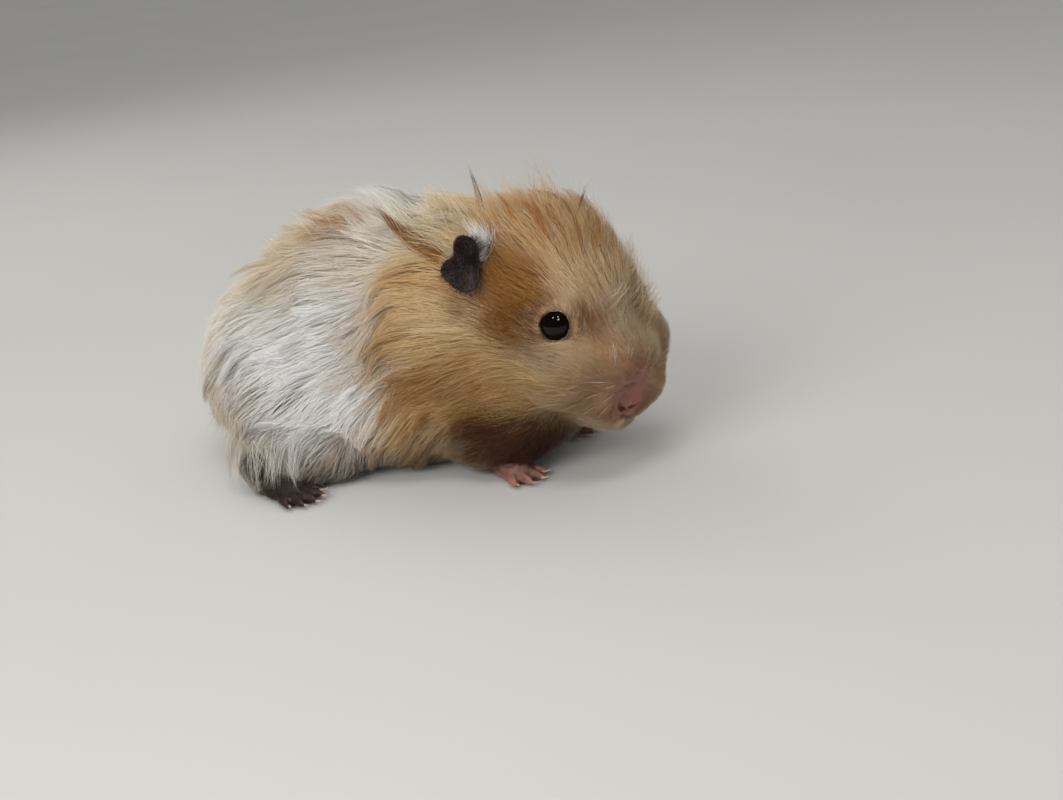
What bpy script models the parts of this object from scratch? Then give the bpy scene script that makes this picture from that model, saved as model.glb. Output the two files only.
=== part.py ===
"""A crouching long-haired Syrian hamster as a still, life-size model.

Frame: metres, floor at z = 0, up is +Z, the body points along -Y, and the animal's left side is +X.
Places are written (ahead, left, up) in millimetres. The solids reach out to the tips of the coat. The whole
body is blended from rounded forms and then parted with thin cuts into head, neck, trunk and legs.
"""

import math

import bmesh
import bpy
from mathutils import Matrix, Vector

MM = 0.001

# Driving sizes, in millimetres and degrees.
GAP = 0.32                      # between pieces that meet
NOSE_TIP = (50.2, -11.4, 16.0)  # ahead, left, up
HEAD_TURN = 21.0                # to the animal's right
HEAD_NOD = 24.0                 # nose down
EYE_RADIUS = 3.05
EYE_PLACE = (-16.5, 10.6, 10.2)  # ahead, out and up from the nose tip, in the head's own directions
EAR_ROOT = (-32.8, 12.8, 13.9)   # the same way
EAR_POINTING = {"right": (-0.42, 0.90, 0.10), "left": (-0.86, 0.42, -0.32)}  # ahead, out, up
EAR_FACING = {"right": (0.50, 0.62, 0.60), "left": (0.15, 0.85, 0.50)}
EAR_LENGTH = 11.0
EAR_WIDTH = 10.8
EAR_THICKNESS = 0.9
FORE = {"length": 11.0, "width": 6.6, "toes": 4}
HIND = {"length": 17.0, "width": 6.8, "toes": 5}
STANCE = {                       # heel (ahead, left, up), turn to the right, size of the foot
    "forefoot_right": ((19.0, -13.5, 0.0), 22.0, FORE),
    "forefoot_left": ((20.5, 10.5, 0.0), 8.0, FORE),
    "hindfoot_right": ((-27.0, -28.0, 0.0), 16.0, HIND),
    "hindfoot_left": ((-23.0, 22.5, 0.0), -10.0, HIND),
}
# Locks that stand out of the coat: root, tip, thickness at the root.
LOCKS = {
    "nape": ((16.0, -6.4, 50.0), (13.4, -6.0, 58.4), 2.6),
    "loins": ((-10.0, -7.0, 48.6), (-19.0, -8.5, 54.0), 5.4),
}
LOCK_TIP = 0.7                   # thickness at the tip

# How finely the blended forms are made.
BODY_VOXEL = 1.1
BODY_TRIANGLES = 2500
FOOT_VOXEL = 0.36
FOOT_TRIANGLES = 290

SIDES = {"left": 1, "right": -1}


def clear_scene():
    for old in list(bpy.data.objects):
        bpy.data.objects.remove(old)


def spot(place):
    """A place (ahead, left, up) in millimetres as a point of the frame, in metres."""
    ahead, left, up = place
    return Vector((left, -ahead, up)) * MM


def turned(yaw_right=0.0, pitch_down=0.0, roll_right=0.0):
    """A turn to the animal's right, then nose down, then onto its right side, in degrees."""
    return (
        Matrix.Rotation(math.radians(-yaw_right), 4, "Z")
        @ Matrix.Rotation(math.radians(pitch_down), 4, "X")
        @ Matrix.Rotation(math.radians(-roll_right), 4, "Y")
    )


HEAD = Matrix.Translation(spot(NOSE_TIP)) @ turned(HEAD_TURN, HEAD_NOD)
BODY = Matrix.Identity(4)


# ---------------------------------------------------------------- making and joining shapes


def apply_modifier(piece, kind, **settings):
    modifier = piece.modifiers.new(kind.title(), kind)
    for name, value in settings.items():
        setattr(modifier, name, value)
    bpy.context.view_layer.objects.active = piece
    bpy.ops.object.modifier_apply(modifier=modifier.name)


def ellipsoid(centre, half, frame=BODY, yaw=0.0, pitch=0.0, roll=0.0, segments=28, rings=18):
    """A rounded form: half is its half length, half width and half height in millimetres."""
    bpy.ops.mesh.primitive_uv_sphere_add(segments=segments, ring_count=rings, radius=1.0)
    form = bpy.context.object
    along, across, tall = (size * MM for size in half)
    scale = Matrix.Diagonal((across, along, tall, 1.0))
    form.data.transform(frame @ Matrix.Translation(spot(centre)) @ turned(yaw, pitch, roll) @ scale)
    return form


def both_sides(centre, half, frame=BODY, yaw=0.0, pitch=0.0, roll=0.0):
    """The same form on the left and on the right. yaw and roll are the right one's."""
    ahead, out, up = centre
    return [
        ellipsoid((ahead, side * out, up), half, frame, -side * yaw, pitch, -side * roll)
        for side in SIDES.values()
    ]


def joined(forms, name):
    bpy.ops.object.select_all(action="DESELECT")
    for form in forms:
        form.select_set(True)
    bpy.context.view_layer.objects.active = forms[0]
    bpy.ops.object.join()
    forms[0].name = name
    return forms[0]


def blended(forms, name, voxel, smoothing, triangles):
    """One closed skin round overlapping forms, smoothed where they meet, with about that many triangles."""
    piece = joined(forms, name)
    apply_modifier(piece, "REMESH", mode="VOXEL", voxel_size=voxel * MM)
    apply_modifier(piece, "SMOOTH", factor=0.5, iterations=smoothing)
    apply_modifier(piece, "TRIANGULATE")
    ratio = triangles / len(piece.data.polygons)
    apply_modifier(piece, "DECIMATE", ratio=min(1.0, ratio))
    return piece


def copy_of(piece, name):
    twin = piece.copy()
    twin.data = piece.data.copy()
    twin.name = name
    bpy.context.scene.collection.objects.link(twin)
    return twin


def grown(piece, by=GAP):
    """A cutter that is larger than a smooth closed piece by that much all round."""
    cutter = copy_of(piece, "cutter_" + piece.name)
    apply_modifier(cutter, "DISPLACE", strength=by * MM, mid_level=0.0)
    return cutter


def cut(piece, cutter, operation="DIFFERENCE", keep_cutter=False):
    apply_modifier(piece, "BOOLEAN", operation=operation, object=cutter, solver="EXACT")
    if not keep_cutter:
        bpy.data.objects.remove(cutter)


def floor_block():
    """All that lies under the floor, for cutting the flats that the animal rests on."""
    bpy.ops.mesh.primitive_cube_add(size=0.4, location=(0, 0, -0.2))
    return bpy.context.object


def half_space(centre, frame, yaw=0.0, pitch=0.0, behind=0.0):
    """A large block ahead of a plane across the body at centre, its rear face moved back by behind."""
    size = 160.0
    bpy.ops.mesh.primitive_cube_add(size=size * MM)
    block = bpy.context.object
    shift = Matrix.Translation(spot((size / 2 - behind, 0, 0)))
    block.data.transform(frame @ Matrix.Translation(spot(centre)) @ turned(yaw, pitch) @ shift)
    return block


def part_off(whole, name, region):
    """Takes what lies in the region off the whole as its own piece, with a thin cut between them."""
    piece = copy_of(whole, name)
    cut(piece, region(0.0), "INTERSECT")
    cut(whole, region(GAP))
    return piece


# ---------------------------------------------------------------- the coated body


def head_forms():
    """The head out to the tips of its coat, in the head's own directions from the nose tip."""
    forms = [
        ellipsoid((-28.0, 0.0, 10.0), (16.5, 16.5, 15.0), HEAD),   # cranium
        ellipsoid((-29.5, 0.0, 16.5), (13.0, 15.5, 10.5), HEAD),   # fluffy crown
        ellipsoid((-19.0, 0.0, 13.5), (10.0, 12.0, 8.5), HEAD, pitch=35),   # forehead
        ellipsoid((-13.0, 0.0, 4.6), (13.0, 11.0, 9.0), HEAD, pitch=22),   # face
        ellipsoid((-7.0, 0.0, 1.5), (7.3, 5.0, 4.8), HEAD, pitch=12),      # snout
        ellipsoid((-12.5, 0.0, -6.5), (9.5, 8.5, 4.4), HEAD, pitch=-8),    # chin
        ellipsoid((-26.0, 0.0, -5.5), (15.0, 15.0, 9.5), HEAD, pitch=-6),  # throat
    ]
    forms += both_sides((-7.4, 5.4, -1.0), (6.6, 5.8, 5.6), HEAD, yaw=18)    # whisker pads
    forms += both_sides((-14.5, 9.8, 2.4), (9.8, 8.2, 8.8), HEAD, yaw=14)    # cheeks
    forms += both_sides((-26.0, 11.0, 1.0), (11.0, 9.6, 12.5), HEAD)         # jowls
    forms += both_sides((-21.0, 7.0, 13.0), (8.0, 6.4, 6.4), HEAD)           # brows
    return forms


def trunk_forms():
    """Neck, shoulders, back, belly and haunches out to the tips of the coat."""
    forms = [
        ellipsoid((16.0, -3.0, 32.0), (16.0, 21.0, 22.0), yaw=14),       # neck ruff
        ellipsoid((9.0, -1.5, 28.5), (21.0, 24.0, 25.0), yaw=8),         # shoulders
        ellipsoid((22.0, -5.0, 13.0), (14.0, 17.0, 12.5), yaw=14),       # chest
        ellipsoid((-8.0, 0.0, 29.5), (24.0, 25.0, 24.5), pitch=-4),      # back
        ellipsoid((-18.0, 0.5, 26.5), (23.0, 25.5, 23.5), pitch=-8),     # loins
        ellipsoid((-12.5, -4.5, 47.0), (8.0, 10.0, 7.0), pitch=-10),     # ruffled back
        ellipsoid((-24.0, 0.5, 23.5), (23.0, 25.2, 22.0), pitch=-8),     # between loins and rump
        ellipsoid((-27.0, 0.5, 20.0), (25.0, 25.5, 20.0), pitch=-6),     # rump
        ellipsoid((-6.0, 0.0, 14.0), (33.0, 25.5, 16.0)),                # belly and the skirt of the coat
        ellipsoid((-28.0, 0.0, 14.0), (24.0, 24.5, 15.0)),               # skirt round the rump
    ]
    forms += both_sides((-22.0, 15.0, 17.0), (17.5, 12.5, 17.5), yaw=-6)  # haunches
    forms += both_sides((-17.0, 21.0, 5.5), (13.0, 6.5, 6.5), yaw=-6)     # thigh fringes
    forms += both_sides((16.0, 12.0, 13.0), (12.0, 9.5, 13.5), yaw=8)     # upper arms
    return forms


def lock(root, tip, thickness):
    """A pointed lock of hair from root to tip."""
    start, end = spot(root), spot(tip)
    bpy.ops.mesh.primitive_cone_add(
        vertices=10, radius1=thickness / 2 * MM, radius2=LOCK_TIP / 2 * MM, depth=(end - start).length
    )
    form = bpy.context.object
    lay = (end - start).to_track_quat("Z", "Y").to_matrix().to_4x4()
    form.data.transform(Matrix.Translation((start + end) / 2) @ lay)
    return form


def coated_body():
    body = blended(head_forms() + trunk_forms(), "trunk", BODY_VOXEL, 14, BODY_TRIANGLES)
    for place in LOCKS.values():
        cut(body, lock(*place), "UNION")
    cut(body, floor_block())
    return body


# ---------------------------------------------------------------- eyes, nose, ears, tail and feet


def eye(side_name):
    side = SIDES[side_name]
    ahead, out, up = EYE_PLACE
    ball = ellipsoid((ahead, side * out, up), (EYE_RADIUS,) * 3, HEAD, segments=14, rings=8)
    ball.name = "eye_" + side_name
    return ball


def nose():
    """The bare pad at the muzzle's tip, with the cleft lip under it."""
    forms = [
        ellipsoid((-1.6, 0.0, 0.2), (2.0, 2.8, 2.1), HEAD, segments=16, rings=10),
        ellipsoid((-2.4, 0.0, -2.0), (1.7, 1.7, 2.4), HEAD, segments=16, rings=10),
    ]
    return blended(forms, "nose", 0.3, 3, 180)


def ear(side_name):
    """A cupped, laid-back ear with a turned-down upper edge, as a curved sheet given its thickness."""
    side = SIDES[side_name]
    rows, columns = 8, 6
    free_edge = 0.45             # share of the length where the outline starts to round off
    mesh = bpy.data.meshes.new("ear_" + side_name)
    grid = bmesh.new()
    bmesh.ops.create_grid(grid, x_segments=columns, y_segments=rows, size=1.0)
    for vertex in grid.verts:
        across, along = vertex.co.x, (vertex.co.y + 1) / 2
        width = 0.5 * EAR_WIDTH * (0.42 + 0.58 * math.sin(math.pi * min(1.0, 0.12 + 0.62 * along)))
        width *= math.sqrt(max(0.0, 1 - (max(0.0, along - free_edge) / 0.62) ** 2.4))
        fold = 2.6 * max(0.0, across - 0.25) ** 1.3 * math.sin(math.pi * along)
        cup = 3.2 * (across**2) * (0.9 - 0.35 * along) + fold
        curl = 2.6 * along**2
        vertex.co = Vector((across * width, along * EAR_LENGTH, cup + curl))
    grid.to_mesh(mesh)
    grid.free()
    sheet = bpy.data.objects.new("ear_" + side_name, mesh)
    bpy.context.scene.collection.objects.link(sheet)
    apply_modifier(sheet, "SOLIDIFY", thickness=EAR_THICKNESS, offset=0.0)
    # The sheet's y runs from root to tip, its x from the lower edge to the upper one and its z outwards.
    ahead, out, up = EAR_POINTING[side_name]
    along = Vector((side * out, -ahead, up)).normalized()
    ahead, out, up = EAR_FACING[side_name]
    outward = Vector((side * out, -ahead, up))
    outward = (outward - outward.dot(along) * along).normalized()
    edge = along.cross(outward)
    if edge.z < 0:
        edge = -edge
    axes = Matrix((edge, along, outward)).transposed().to_4x4()
    ahead, out, up = EAR_ROOT
    root = Matrix.Translation(spot((ahead, side * out, up)))
    sheet.data.transform(HEAD @ root @ axes @ Matrix.Diagonal((MM, MM, MM, 1.0)))
    if axes.determinant() < 0:
        sheet.data.flip_normals()
    return sheet


def tail():
    forms = [
        ellipsoid((-47.5, 0.5, 8.5), (5.0, 2.0, 2.0), pitch=12),
        ellipsoid((-51.0, 0.8, 7.2), (3.6, 1.5, 1.5), pitch=24),
    ]
    return blended(forms, "tail", 0.5, 3, 130)


def foot(name, heel, yaw, length, width, toes):
    """A bare foot flat on the floor: heel, palm and splayed toes that end in short claws."""
    frame = Matrix.Translation(spot(heel)) @ turned(yaw)
    toe_length = 0.36 * length
    palm = length - toe_length
    forms = [
        ellipsoid((0.16 * length, 0, 1.9), (0.26 * length, 0.34 * width, 2.5), frame),
        ellipsoid((0.62 * palm, 0, 1.7), (0.5 * palm, 0.46 * width, 2.3), frame),
        ellipsoid((0.05 * length, 0, 4.6), (0.24 * length, 0.34 * width, 4.6), frame, pitch=-28),
    ]
    for index in range(toes):
        share = index / (toes - 1) * 2 - 1
        splay = 26 * share
        reach = toe_length * (1 - 0.34 * share**2)
        root = (palm * (0.93 - 0.10 * share**2), 0.40 * width * share, 1.35)
        step = Vector((math.cos(math.radians(splay)), math.sin(math.radians(splay)), 0))
        middle = (root[0] + step.x * 0.42 * reach, root[1] + step.y * 0.42 * reach, 1.25)
        tip = (root[0] + step.x * 0.95 * reach, root[1] + step.y * 0.95 * reach, 1.05)
        forms.append(ellipsoid(middle, (0.62 * reach, 0.95, 1.15), frame, yaw=-splay))
        forms.append(ellipsoid(tip, (1.5, 0.62, 0.66), frame, yaw=-splay, pitch=10))
    piece = blended(forms, name, FOOT_VOXEL, 2, FOOT_TRIANGLES)
    cut(piece, floor_block())
    return piece


def feet():
    return [foot(name, heel, yaw, **size) for name, (heel, yaw, size) in STANCE.items()]


# ---------------------------------------------------------------- parting and finishing


def leg_region(centre, half, yaw=0.0):
    return lambda gap: ellipsoid(
        centre, tuple(size + gap for size in half), yaw=yaw, segments=14, rings=8
    )


def part_the_body(body):
    """Head, neck and legs come off the coated body, and what stays is the trunk."""
    pieces = []
    for name, side in SIDES.items():
        haunch = leg_region((-22.0, side * 22.0, 12.0), (17.0, 12.0, 15.0), side * 6)
        arm = leg_region((20.0, side * 15.0, 6.5), (12.0, 9.5, 10.0), -side * 8)
        pieces.append(part_off(body, "hindleg_" + name, haunch))
        pieces.append(part_off(body, "foreleg_" + name, arm))
    head_plane = ((-33.0, 0, 2), HEAD, -4, -46)
    neck_plane = ((11.0, 0, 24), BODY, 12, -14)
    pieces.append(part_off(body, "head", lambda gap: half_space(*head_plane, gap)))
    pieces.append(part_off(body, "neck", lambda gap: half_space(*neck_plane, gap)))
    return pieces + [body]


def largest_body(piece):
    """Drops the crumbs that a cut can leave beside the main body of a piece."""
    shape = bmesh.new()
    shape.from_mesh(piece.data)
    unseen, bodies = set(shape.verts), []
    while unseen:
        front, body = [unseen.pop()], []
        while front:
            vertex = front.pop()
            body.append(vertex)
            for edge in vertex.link_edges:
                other = edge.other_vert(vertex)
                if other in unseen:
                    unseen.discard(other)
                    front.append(other)
        bodies.append(body)
    bodies.sort(key=len)
    for crumb in bodies[:-1]:
        bmesh.ops.delete(shape, geom=crumb, context="VERTS")
    shape.to_mesh(piece.data)
    shape.free()


def material(name, colour, roughness):
    finish = bpy.data.materials.new(name)
    finish.use_nodes = True
    shader = finish.node_tree.nodes["Principled BSDF"]
    shader.inputs["Base Color"].default_value = (*colour, 1.0)
    shader.inputs["Roughness"].default_value = roughness
    shader.inputs["Metallic"].default_value = 0.0
    return finish


def finish_pieces(pieces):
    finishes = {
        "head": material("golden_coat", (0.55, 0.36, 0.18), 0.85),
        "neck": material("neck_coat", (0.60, 0.41, 0.22), 0.85),
        "trunk": material("banded_coat", (0.72, 0.64, 0.54), 0.85),
        "hindleg": material("hindleg_coat", (0.70, 0.62, 0.52), 0.85),
        "foreleg": material("foreleg_coat", (0.50, 0.33, 0.17), 0.85),
        "forefoot": material("pink_skin", (0.52, 0.27, 0.22), 0.6),
        "hindfoot": material("dark_foot_skin", (0.14, 0.09, 0.08), 0.6),
        "ear": material("dark_ear_skin", (0.06, 0.04, 0.035), 0.7),
        "eye": material("black_eye", (0.01, 0.008, 0.008), 0.05),
        "nose": material("nose_skin", (0.55, 0.27, 0.23), 0.5),
        "tail": material("tail_skin", (0.50, 0.32, 0.26), 0.7),
    }
    group = bpy.data.collections.new("syrian_hamster")
    bpy.context.scene.collection.children.link(group)
    for piece in pieces:
        piece.data.materials.clear()
        piece.data.materials.append(finishes[piece.name.split("_")[0]])
        piece.data.shade_smooth()
        piece.data.set_sharp_from_angle(angle=math.radians(40))
        for holder in list(piece.users_collection):
            holder.objects.unlink(piece)
        group.objects.link(piece)


def centre_on_floor(pieces):
    """Moves the whole animal so that the origin lies under the middle of its box, on the floor."""
    points = [vertex.co for piece in pieces for vertex in piece.data.vertices]
    lowest = [min(point[axis] for point in points) for axis in range(3)]
    highest = [max(point[axis] for point in points) for axis in range(3)]
    middle = Vector(((lowest[0] + highest[0]) / 2, (lowest[1] + highest[1]) / 2, lowest[2]))
    for piece in pieces:
        piece.data.transform(Matrix.Translation(-middle))


def main():
    clear_scene()
    body = coated_body()
    small = [eye(side) for side in SIDES] + [nose(), tail()] + feet()
    small += [ear(side) for side in SIDES]
    for piece in small:
        cut(body, grown(piece))
    pieces = part_the_body(body) + small
    for piece in pieces:
        largest_body(piece)
    finish_pieces(pieces)
    centre_on_floor(pieces)


main()
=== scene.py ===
"""The looks of a crouching long-haired Syrian hamster: one skin, a coat of solid tufts, eyes and claws.

Frame: metres, floor at z = 0, up is +Z, the body points along -Y and the animal's left side is +X. Places
are (ahead, left, up) in millimetres. Those on the head start at the tip of the nose and go in the head's
own directions, and the others start under the middle of the animal.
"""

import math
from contextlib import contextmanager

import bmesh
import bpy
import numpy as np
from mathutils import Matrix, Vector
from mathutils.bvhtree import BVHTree
from mathutils.kdtree import KDTree


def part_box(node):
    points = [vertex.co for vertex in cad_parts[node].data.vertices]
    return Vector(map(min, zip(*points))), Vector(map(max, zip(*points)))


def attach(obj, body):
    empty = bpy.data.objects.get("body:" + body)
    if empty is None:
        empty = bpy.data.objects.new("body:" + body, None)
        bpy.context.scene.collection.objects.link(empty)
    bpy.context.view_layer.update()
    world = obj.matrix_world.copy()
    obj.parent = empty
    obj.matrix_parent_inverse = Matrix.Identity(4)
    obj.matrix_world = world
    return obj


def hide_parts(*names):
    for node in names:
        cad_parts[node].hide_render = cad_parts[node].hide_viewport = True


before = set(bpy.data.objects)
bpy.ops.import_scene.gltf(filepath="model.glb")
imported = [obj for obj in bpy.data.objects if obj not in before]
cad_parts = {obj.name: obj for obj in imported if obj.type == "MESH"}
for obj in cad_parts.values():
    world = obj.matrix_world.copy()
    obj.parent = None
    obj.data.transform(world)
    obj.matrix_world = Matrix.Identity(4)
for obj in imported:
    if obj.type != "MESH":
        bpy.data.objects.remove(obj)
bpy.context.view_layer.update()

MM = 0.001
SEED = 20
SIDES = {"left": 1, "right": -1}

# The pose and the main sizes of the solids, in millimetres and degrees.
HEAD_TURN = 21.0                 # to the animal's right
HEAD_NOD = 24.0                  # nose down
NOSE_TIP = (50.2, -11.4, 16.0)   # in the frame of the stance below
EYE_RADIUS = 3.05
EYE_PLACE = (-16.5, 10.6, 10.2)  # ahead, out and up from the nose tip
EAR_ROOT = {"right": (-32.8, 12.8, 13.9), "left": (-32.2, 12.0, 12.6)}  # the same way
EAR_POINTING = {"right": (-0.42, 0.90, 0.10), "left": (-0.86, 0.42, -0.32)}  # ahead, out, up
EAR_FACING = {"right": (0.50, 0.62, 0.60), "left": (0.22, 0.90, 0.36)}
FORE = {"length": 11.0, "width": 6.6, "toes": 4}
HIND = {"length": 17.0, "width": 6.8, "toes": 5}
STANCE = {                       # heel (ahead, left, up), turn to the right, size of the foot
    "forefoot_right": ((19.0, -13.5, 0.0), 22.0, FORE),
    "forefoot_left": ((20.5, 10.5, 0.0), 8.0, FORE),
    "hindfoot_right": ((-27.0, -28.0, 0.0), 16.0, HIND),
    "hindfoot_left": ((-23.0, 22.5, 0.0), -10.0, HIND),
}

# How fine the skin and the coat are, in millimetres and numbers of strands.
OUTLINE_VOXEL = 0.6
SKIN_VOXEL = 0.59
FOOT_VOXEL = 0.27
SEAM_CLOSING = 1.2               # the outline is grown by this to close the cuts and the ears' slots
STRANDS = 100500
POINTED_LOCKS = 170
LOOSE = 0.24                     # share of the strands that lie free of the locks
LONGEST_SHORT = 2.4              # coat up to this deep is made of strands of two lengths, not three
MOST_IN_A_PIECE = 12000
LOCK_ROOTS = 130000              # roots drawn for the pointed locks, most of which lie between them
LASHES = 420                     # for each eye
EAR_HAIRS = 1100                 # for each ear
PATCH = 0.003                    # size of a strand's place on the bake map
COAT_SKIN, EAR, FOREFOOT, HINDFOOT, EAR_BASE = range(5)
NOSE_SET = (-2.5, -0.9, -2.2)    # the skin's nose is drawn back, right and down by this
MUZZLE_FILLS = [                 # where the skin is filled out, how far round and by how much
    ((-6.0, 1.5, -6.5), 5.2, (1.5, -0.2, -2.4)),     # chin
    ((-10.5, -4.0, -9.5), 6.0, (0.7, -0.4, -1.5)),   # under the near cheek
    ((-4.0, 6.0, -2.0), 5.0, (0.7, 0.9, -0.4)),      # far side of the muzzle
]
PAD_SIZE = 1.32                  # of the pad and the nostrils, against the way they are drawn below
PAD_MIDDLE = (-0.9, -2.7)        # the middle of its pad: left and up of the solid's nose tip
WELD = 0.000004                  # points of a solid closer than this, in metres, are one
MUZZLE_REFINED = [((-2.5, 0.0, -1.0), 8.5), ((-1.0, 0.0, 0.5), 5.5)]  # where, and how far round

# The coat's depth over the head: (distance from the tip of the nose, depth).
DEPTH_ON_HEAD = [(0, 0.05), (4, 0.2), (9, 0.8), (16, 1.5), (24, 2.7), (34, 4.4), (46, 6.2)]

# The shape of a strand, in millimetres and shares.
ROOT_DEPTH = 0.25                # it starts this far under the skin
LAST_RING = 0.62                 # its width where its point begins, against that at the root
FLATNESS = 0.6                   # its thickness against its width
ROUNDING = 0.42                  # how far its shading turns from the coat's own direction
OFF_FLOOR = 0.0001               # the lowest that it hangs, in metres
LOCK_STOPS = 5                   # points along a strand of a lock that stands out

# Where each kind of hair starts its random draws.
WHISKER_SEED, FUZZ_SEED, POINTED_SEED, LASH_SEED = (SEED + step for step in (60, 360, 400, 420))


# ---------------------------------------------------------------- places and directions


def toward(way):
    """(ahead, left, up) as a vector of the frame."""
    ahead, left, up = way
    return Vector((left, -ahead, up))


def spot(place):
    """A place (ahead, left, up) in millimetres as a point of the frame, in metres."""
    return toward(place) * MM


def on_side(place, side):
    """(ahead, out, up) as (ahead, left, up) on that side of the animal."""
    return (place[0], side * place[1], place[2])


def turned(yaw_right=0.0, pitch_down=0.0, roll_right=0.0):
    """A turn to the animal's right, then nose down, then onto its right side, in degrees."""
    return (
        Matrix.Rotation(math.radians(-yaw_right), 4, "Z")
        @ Matrix.Rotation(math.radians(pitch_down), 4, "X")
        @ Matrix.Rotation(math.radians(-roll_right), 4, "Y")
    )


def middle_of(node):
    low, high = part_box(node)
    return (low + high) / 2


EYES_MIDDLE = (middle_of("eye_left") + middle_of("eye_right")) / 2
HEAD = (
    Matrix.Translation(EYES_MIDDLE)
    @ turned(HEAD_TURN, HEAD_NOD)
    @ Matrix.Translation(-spot((EYE_PLACE[0], 0.0, EYE_PLACE[2])))
)
BODY = Matrix.Identity(4)
STAND = Matrix.Translation(HEAD.translation - spot(NOSE_TIP))  # the frame of NOSE_TIP and STANCE


def in_frame(points, own):
    """Points (n, 3) in metres as (ahead, left, up) in millimetres of that frame."""
    inverse = np.array(own.inverted())
    local = points @ inverse[:3, :3].T + inverse[:3, 3]
    return np.stack([-local[:, 1], local[:, 0], local[:, 2]], axis=1) / MM


def world_of(places, own):
    """The other way: places (n, 3) of that frame as points in metres."""
    local = np.stack([places[:, 1], -places[:, 0], places[:, 2]], axis=1) * MM
    matrix = np.array(own)
    return local @ matrix[:3, :3].T + matrix[:3, 3]


def direction(way, own):
    """A direction (ahead, left, up) of that frame as a unit vector of the world."""
    return np.array((own.to_3x3() @ toward(way)).normalized())


def ramp(value, low, high):
    """0 below low, 1 above high and smooth between them."""
    share = np.clip((value - low) / (high - low), 0.0, 1.0)
    return share * share * (3 - 2 * share)


def mixed(first, second, share):
    return first + (second - first) * share


def unit(vectors):
    return vectors / np.maximum(np.linalg.norm(vectors, axis=-1, keepdims=True), 1e-12)


def dots(first, second):
    return (first * second).sum(axis=-1, keepdims=True)


def flattened(vectors, normals):
    """The part of each vector that lies in the surface, at unit length."""
    return unit(vectors - dots(vectors, normals) * normals)


def distance_to(points, centre):
    return np.linalg.norm(points - np.array(centre), axis=1)


def swell(distance, radius):
    """1 at no distance, and fading out like a bell beyond the radius."""
    return np.exp(-(distance / radius) ** 2)


def wobble(points, size, seed):
    """A smooth random field from -1 to 1 whose bumps are about that many millimetres across."""
    chance = np.random.default_rng(seed)
    total = np.zeros(len(points))
    waves = 9
    for _ in range(waves):
        way = unit(chance.normal(size=3)) * math.tau / (size * MM * chance.uniform(0.8, 2.2))
        total += np.sin(points @ way + chance.uniform(0, math.tau))
    return total / math.sqrt(waves)


# ---------------------------------------------------------------- mesh tools


def deselect():
    bpy.ops.object.select_all(action="DESELECT")


def activate(piece):
    deselect()
    piece.select_set(True)
    bpy.context.view_layer.objects.active = piece


def apply_modifier(piece, kind, **settings):
    modifier = piece.modifiers.new(kind.title(), kind)
    for name, value in settings.items():
        setattr(modifier, name, value)
    activate(piece)
    bpy.ops.object.modifier_apply(modifier=modifier.name)


@contextmanager
def editing(piece, select="SELECT"):
    """Edit mode on a piece, with all of its mesh selected or deselected first, or left as it is."""
    activate(piece)
    bpy.ops.object.mode_set(mode="EDIT")
    if select:
        bpy.ops.mesh.select_all(action=select)
    yield
    bpy.ops.object.mode_set(mode="OBJECT")


def new_object(name, data):
    thing = bpy.data.objects.new(name, data)
    bpy.context.scene.collection.objects.link(thing)
    return thing


def joined(pieces, name):
    deselect()
    for piece in pieces:
        piece.select_set(True)
    bpy.context.view_layer.objects.active = pieces[0]
    if len(pieces) > 1:
        bpy.ops.object.join()
    pieces[0].name = name
    return pieces[0]


def merged_copy(node):
    """A copy of a solid's mesh with its loose triangles merged."""
    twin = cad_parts[node].copy()
    twin.data = twin.data.copy()
    twin.parent = None
    for key in list(twin.keys()):
        del twin[key]
    bpy.context.scene.collection.objects.link(twin)
    with editing(twin):
        bpy.ops.mesh.remove_doubles(threshold=WELD)
        bpy.ops.mesh.customdata_custom_splitnormals_clear()
    twin.data.materials.clear()
    return twin


def outer_shell(piece):
    """Keeps only a mesh's largest connected shell."""
    with editing(piece):
        bpy.ops.mesh.separate(type="LOOSE")
    shells = sorted(bpy.context.selected_objects, key=lambda shell: len(shell.data.vertices))
    for shell in shells[:-1]:
        bpy.data.objects.remove(shell)
    return shells[-1]


def rows_of(items, key, width, kind=np.float32):
    """One property of every item of a Blender collection, as the rows of an array."""
    values = np.empty(len(items) * width, kind)
    items.foreach_get(key, values)
    return values.reshape(-1, width)


def points_of(piece):
    return rows_of(piece.data.vertices, "co", 3).astype(float)


def normals_of(piece):
    return rows_of(piece.data.vertex_normals, "vector", 3).astype(float)


def edges_of(piece):
    return rows_of(piece.data.edges, "vertices", 2, np.int32)


def set_points(piece, points):
    piece.data.vertices.foreach_set("co", points.astype(np.float32).ravel())
    piece.data.update()


def relaxed(values, edges, rounds, factor=0.5):
    """Each vertex's value, or place, drawn towards its neighbours' mean."""
    count = len(values)
    ends = np.concatenate([edges[:, 0], edges[:, 1]])
    others = np.concatenate([edges[:, 1], edges[:, 0]])
    degree = np.maximum(np.bincount(ends, minlength=count), 1)
    columns = values.reshape(count, -1).copy()
    for _ in range(rounds):
        means = np.stack(
            [np.bincount(ends, weights=c[others], minlength=count) / degree for c in columns.T], axis=1
        )
        columns += factor * (means - columns)
    return columns.reshape(values.shape)


def tree_of(piece):
    """(search tree, vertices of each triangle) of a mesh."""
    piece.data.calc_loop_triangles()
    corners = rows_of(piece.data.loop_triangles, "vertices", 3, np.int32)
    return BVHTree.FromPolygons(points_of(piece).tolist(), corners.tolist()), corners


def entries(found, *wanted):
    """Those entries of every search result, as arrays."""
    return [np.array([hit[number] for hit in found]) for number in wanted]


def nearest(tree, points):
    """(nearest points, triangle numbers, distances) on a mesh's search tree."""
    return entries([tree.find_nearest(point) for point in points.tolist()], 0, 2, 3)


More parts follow.
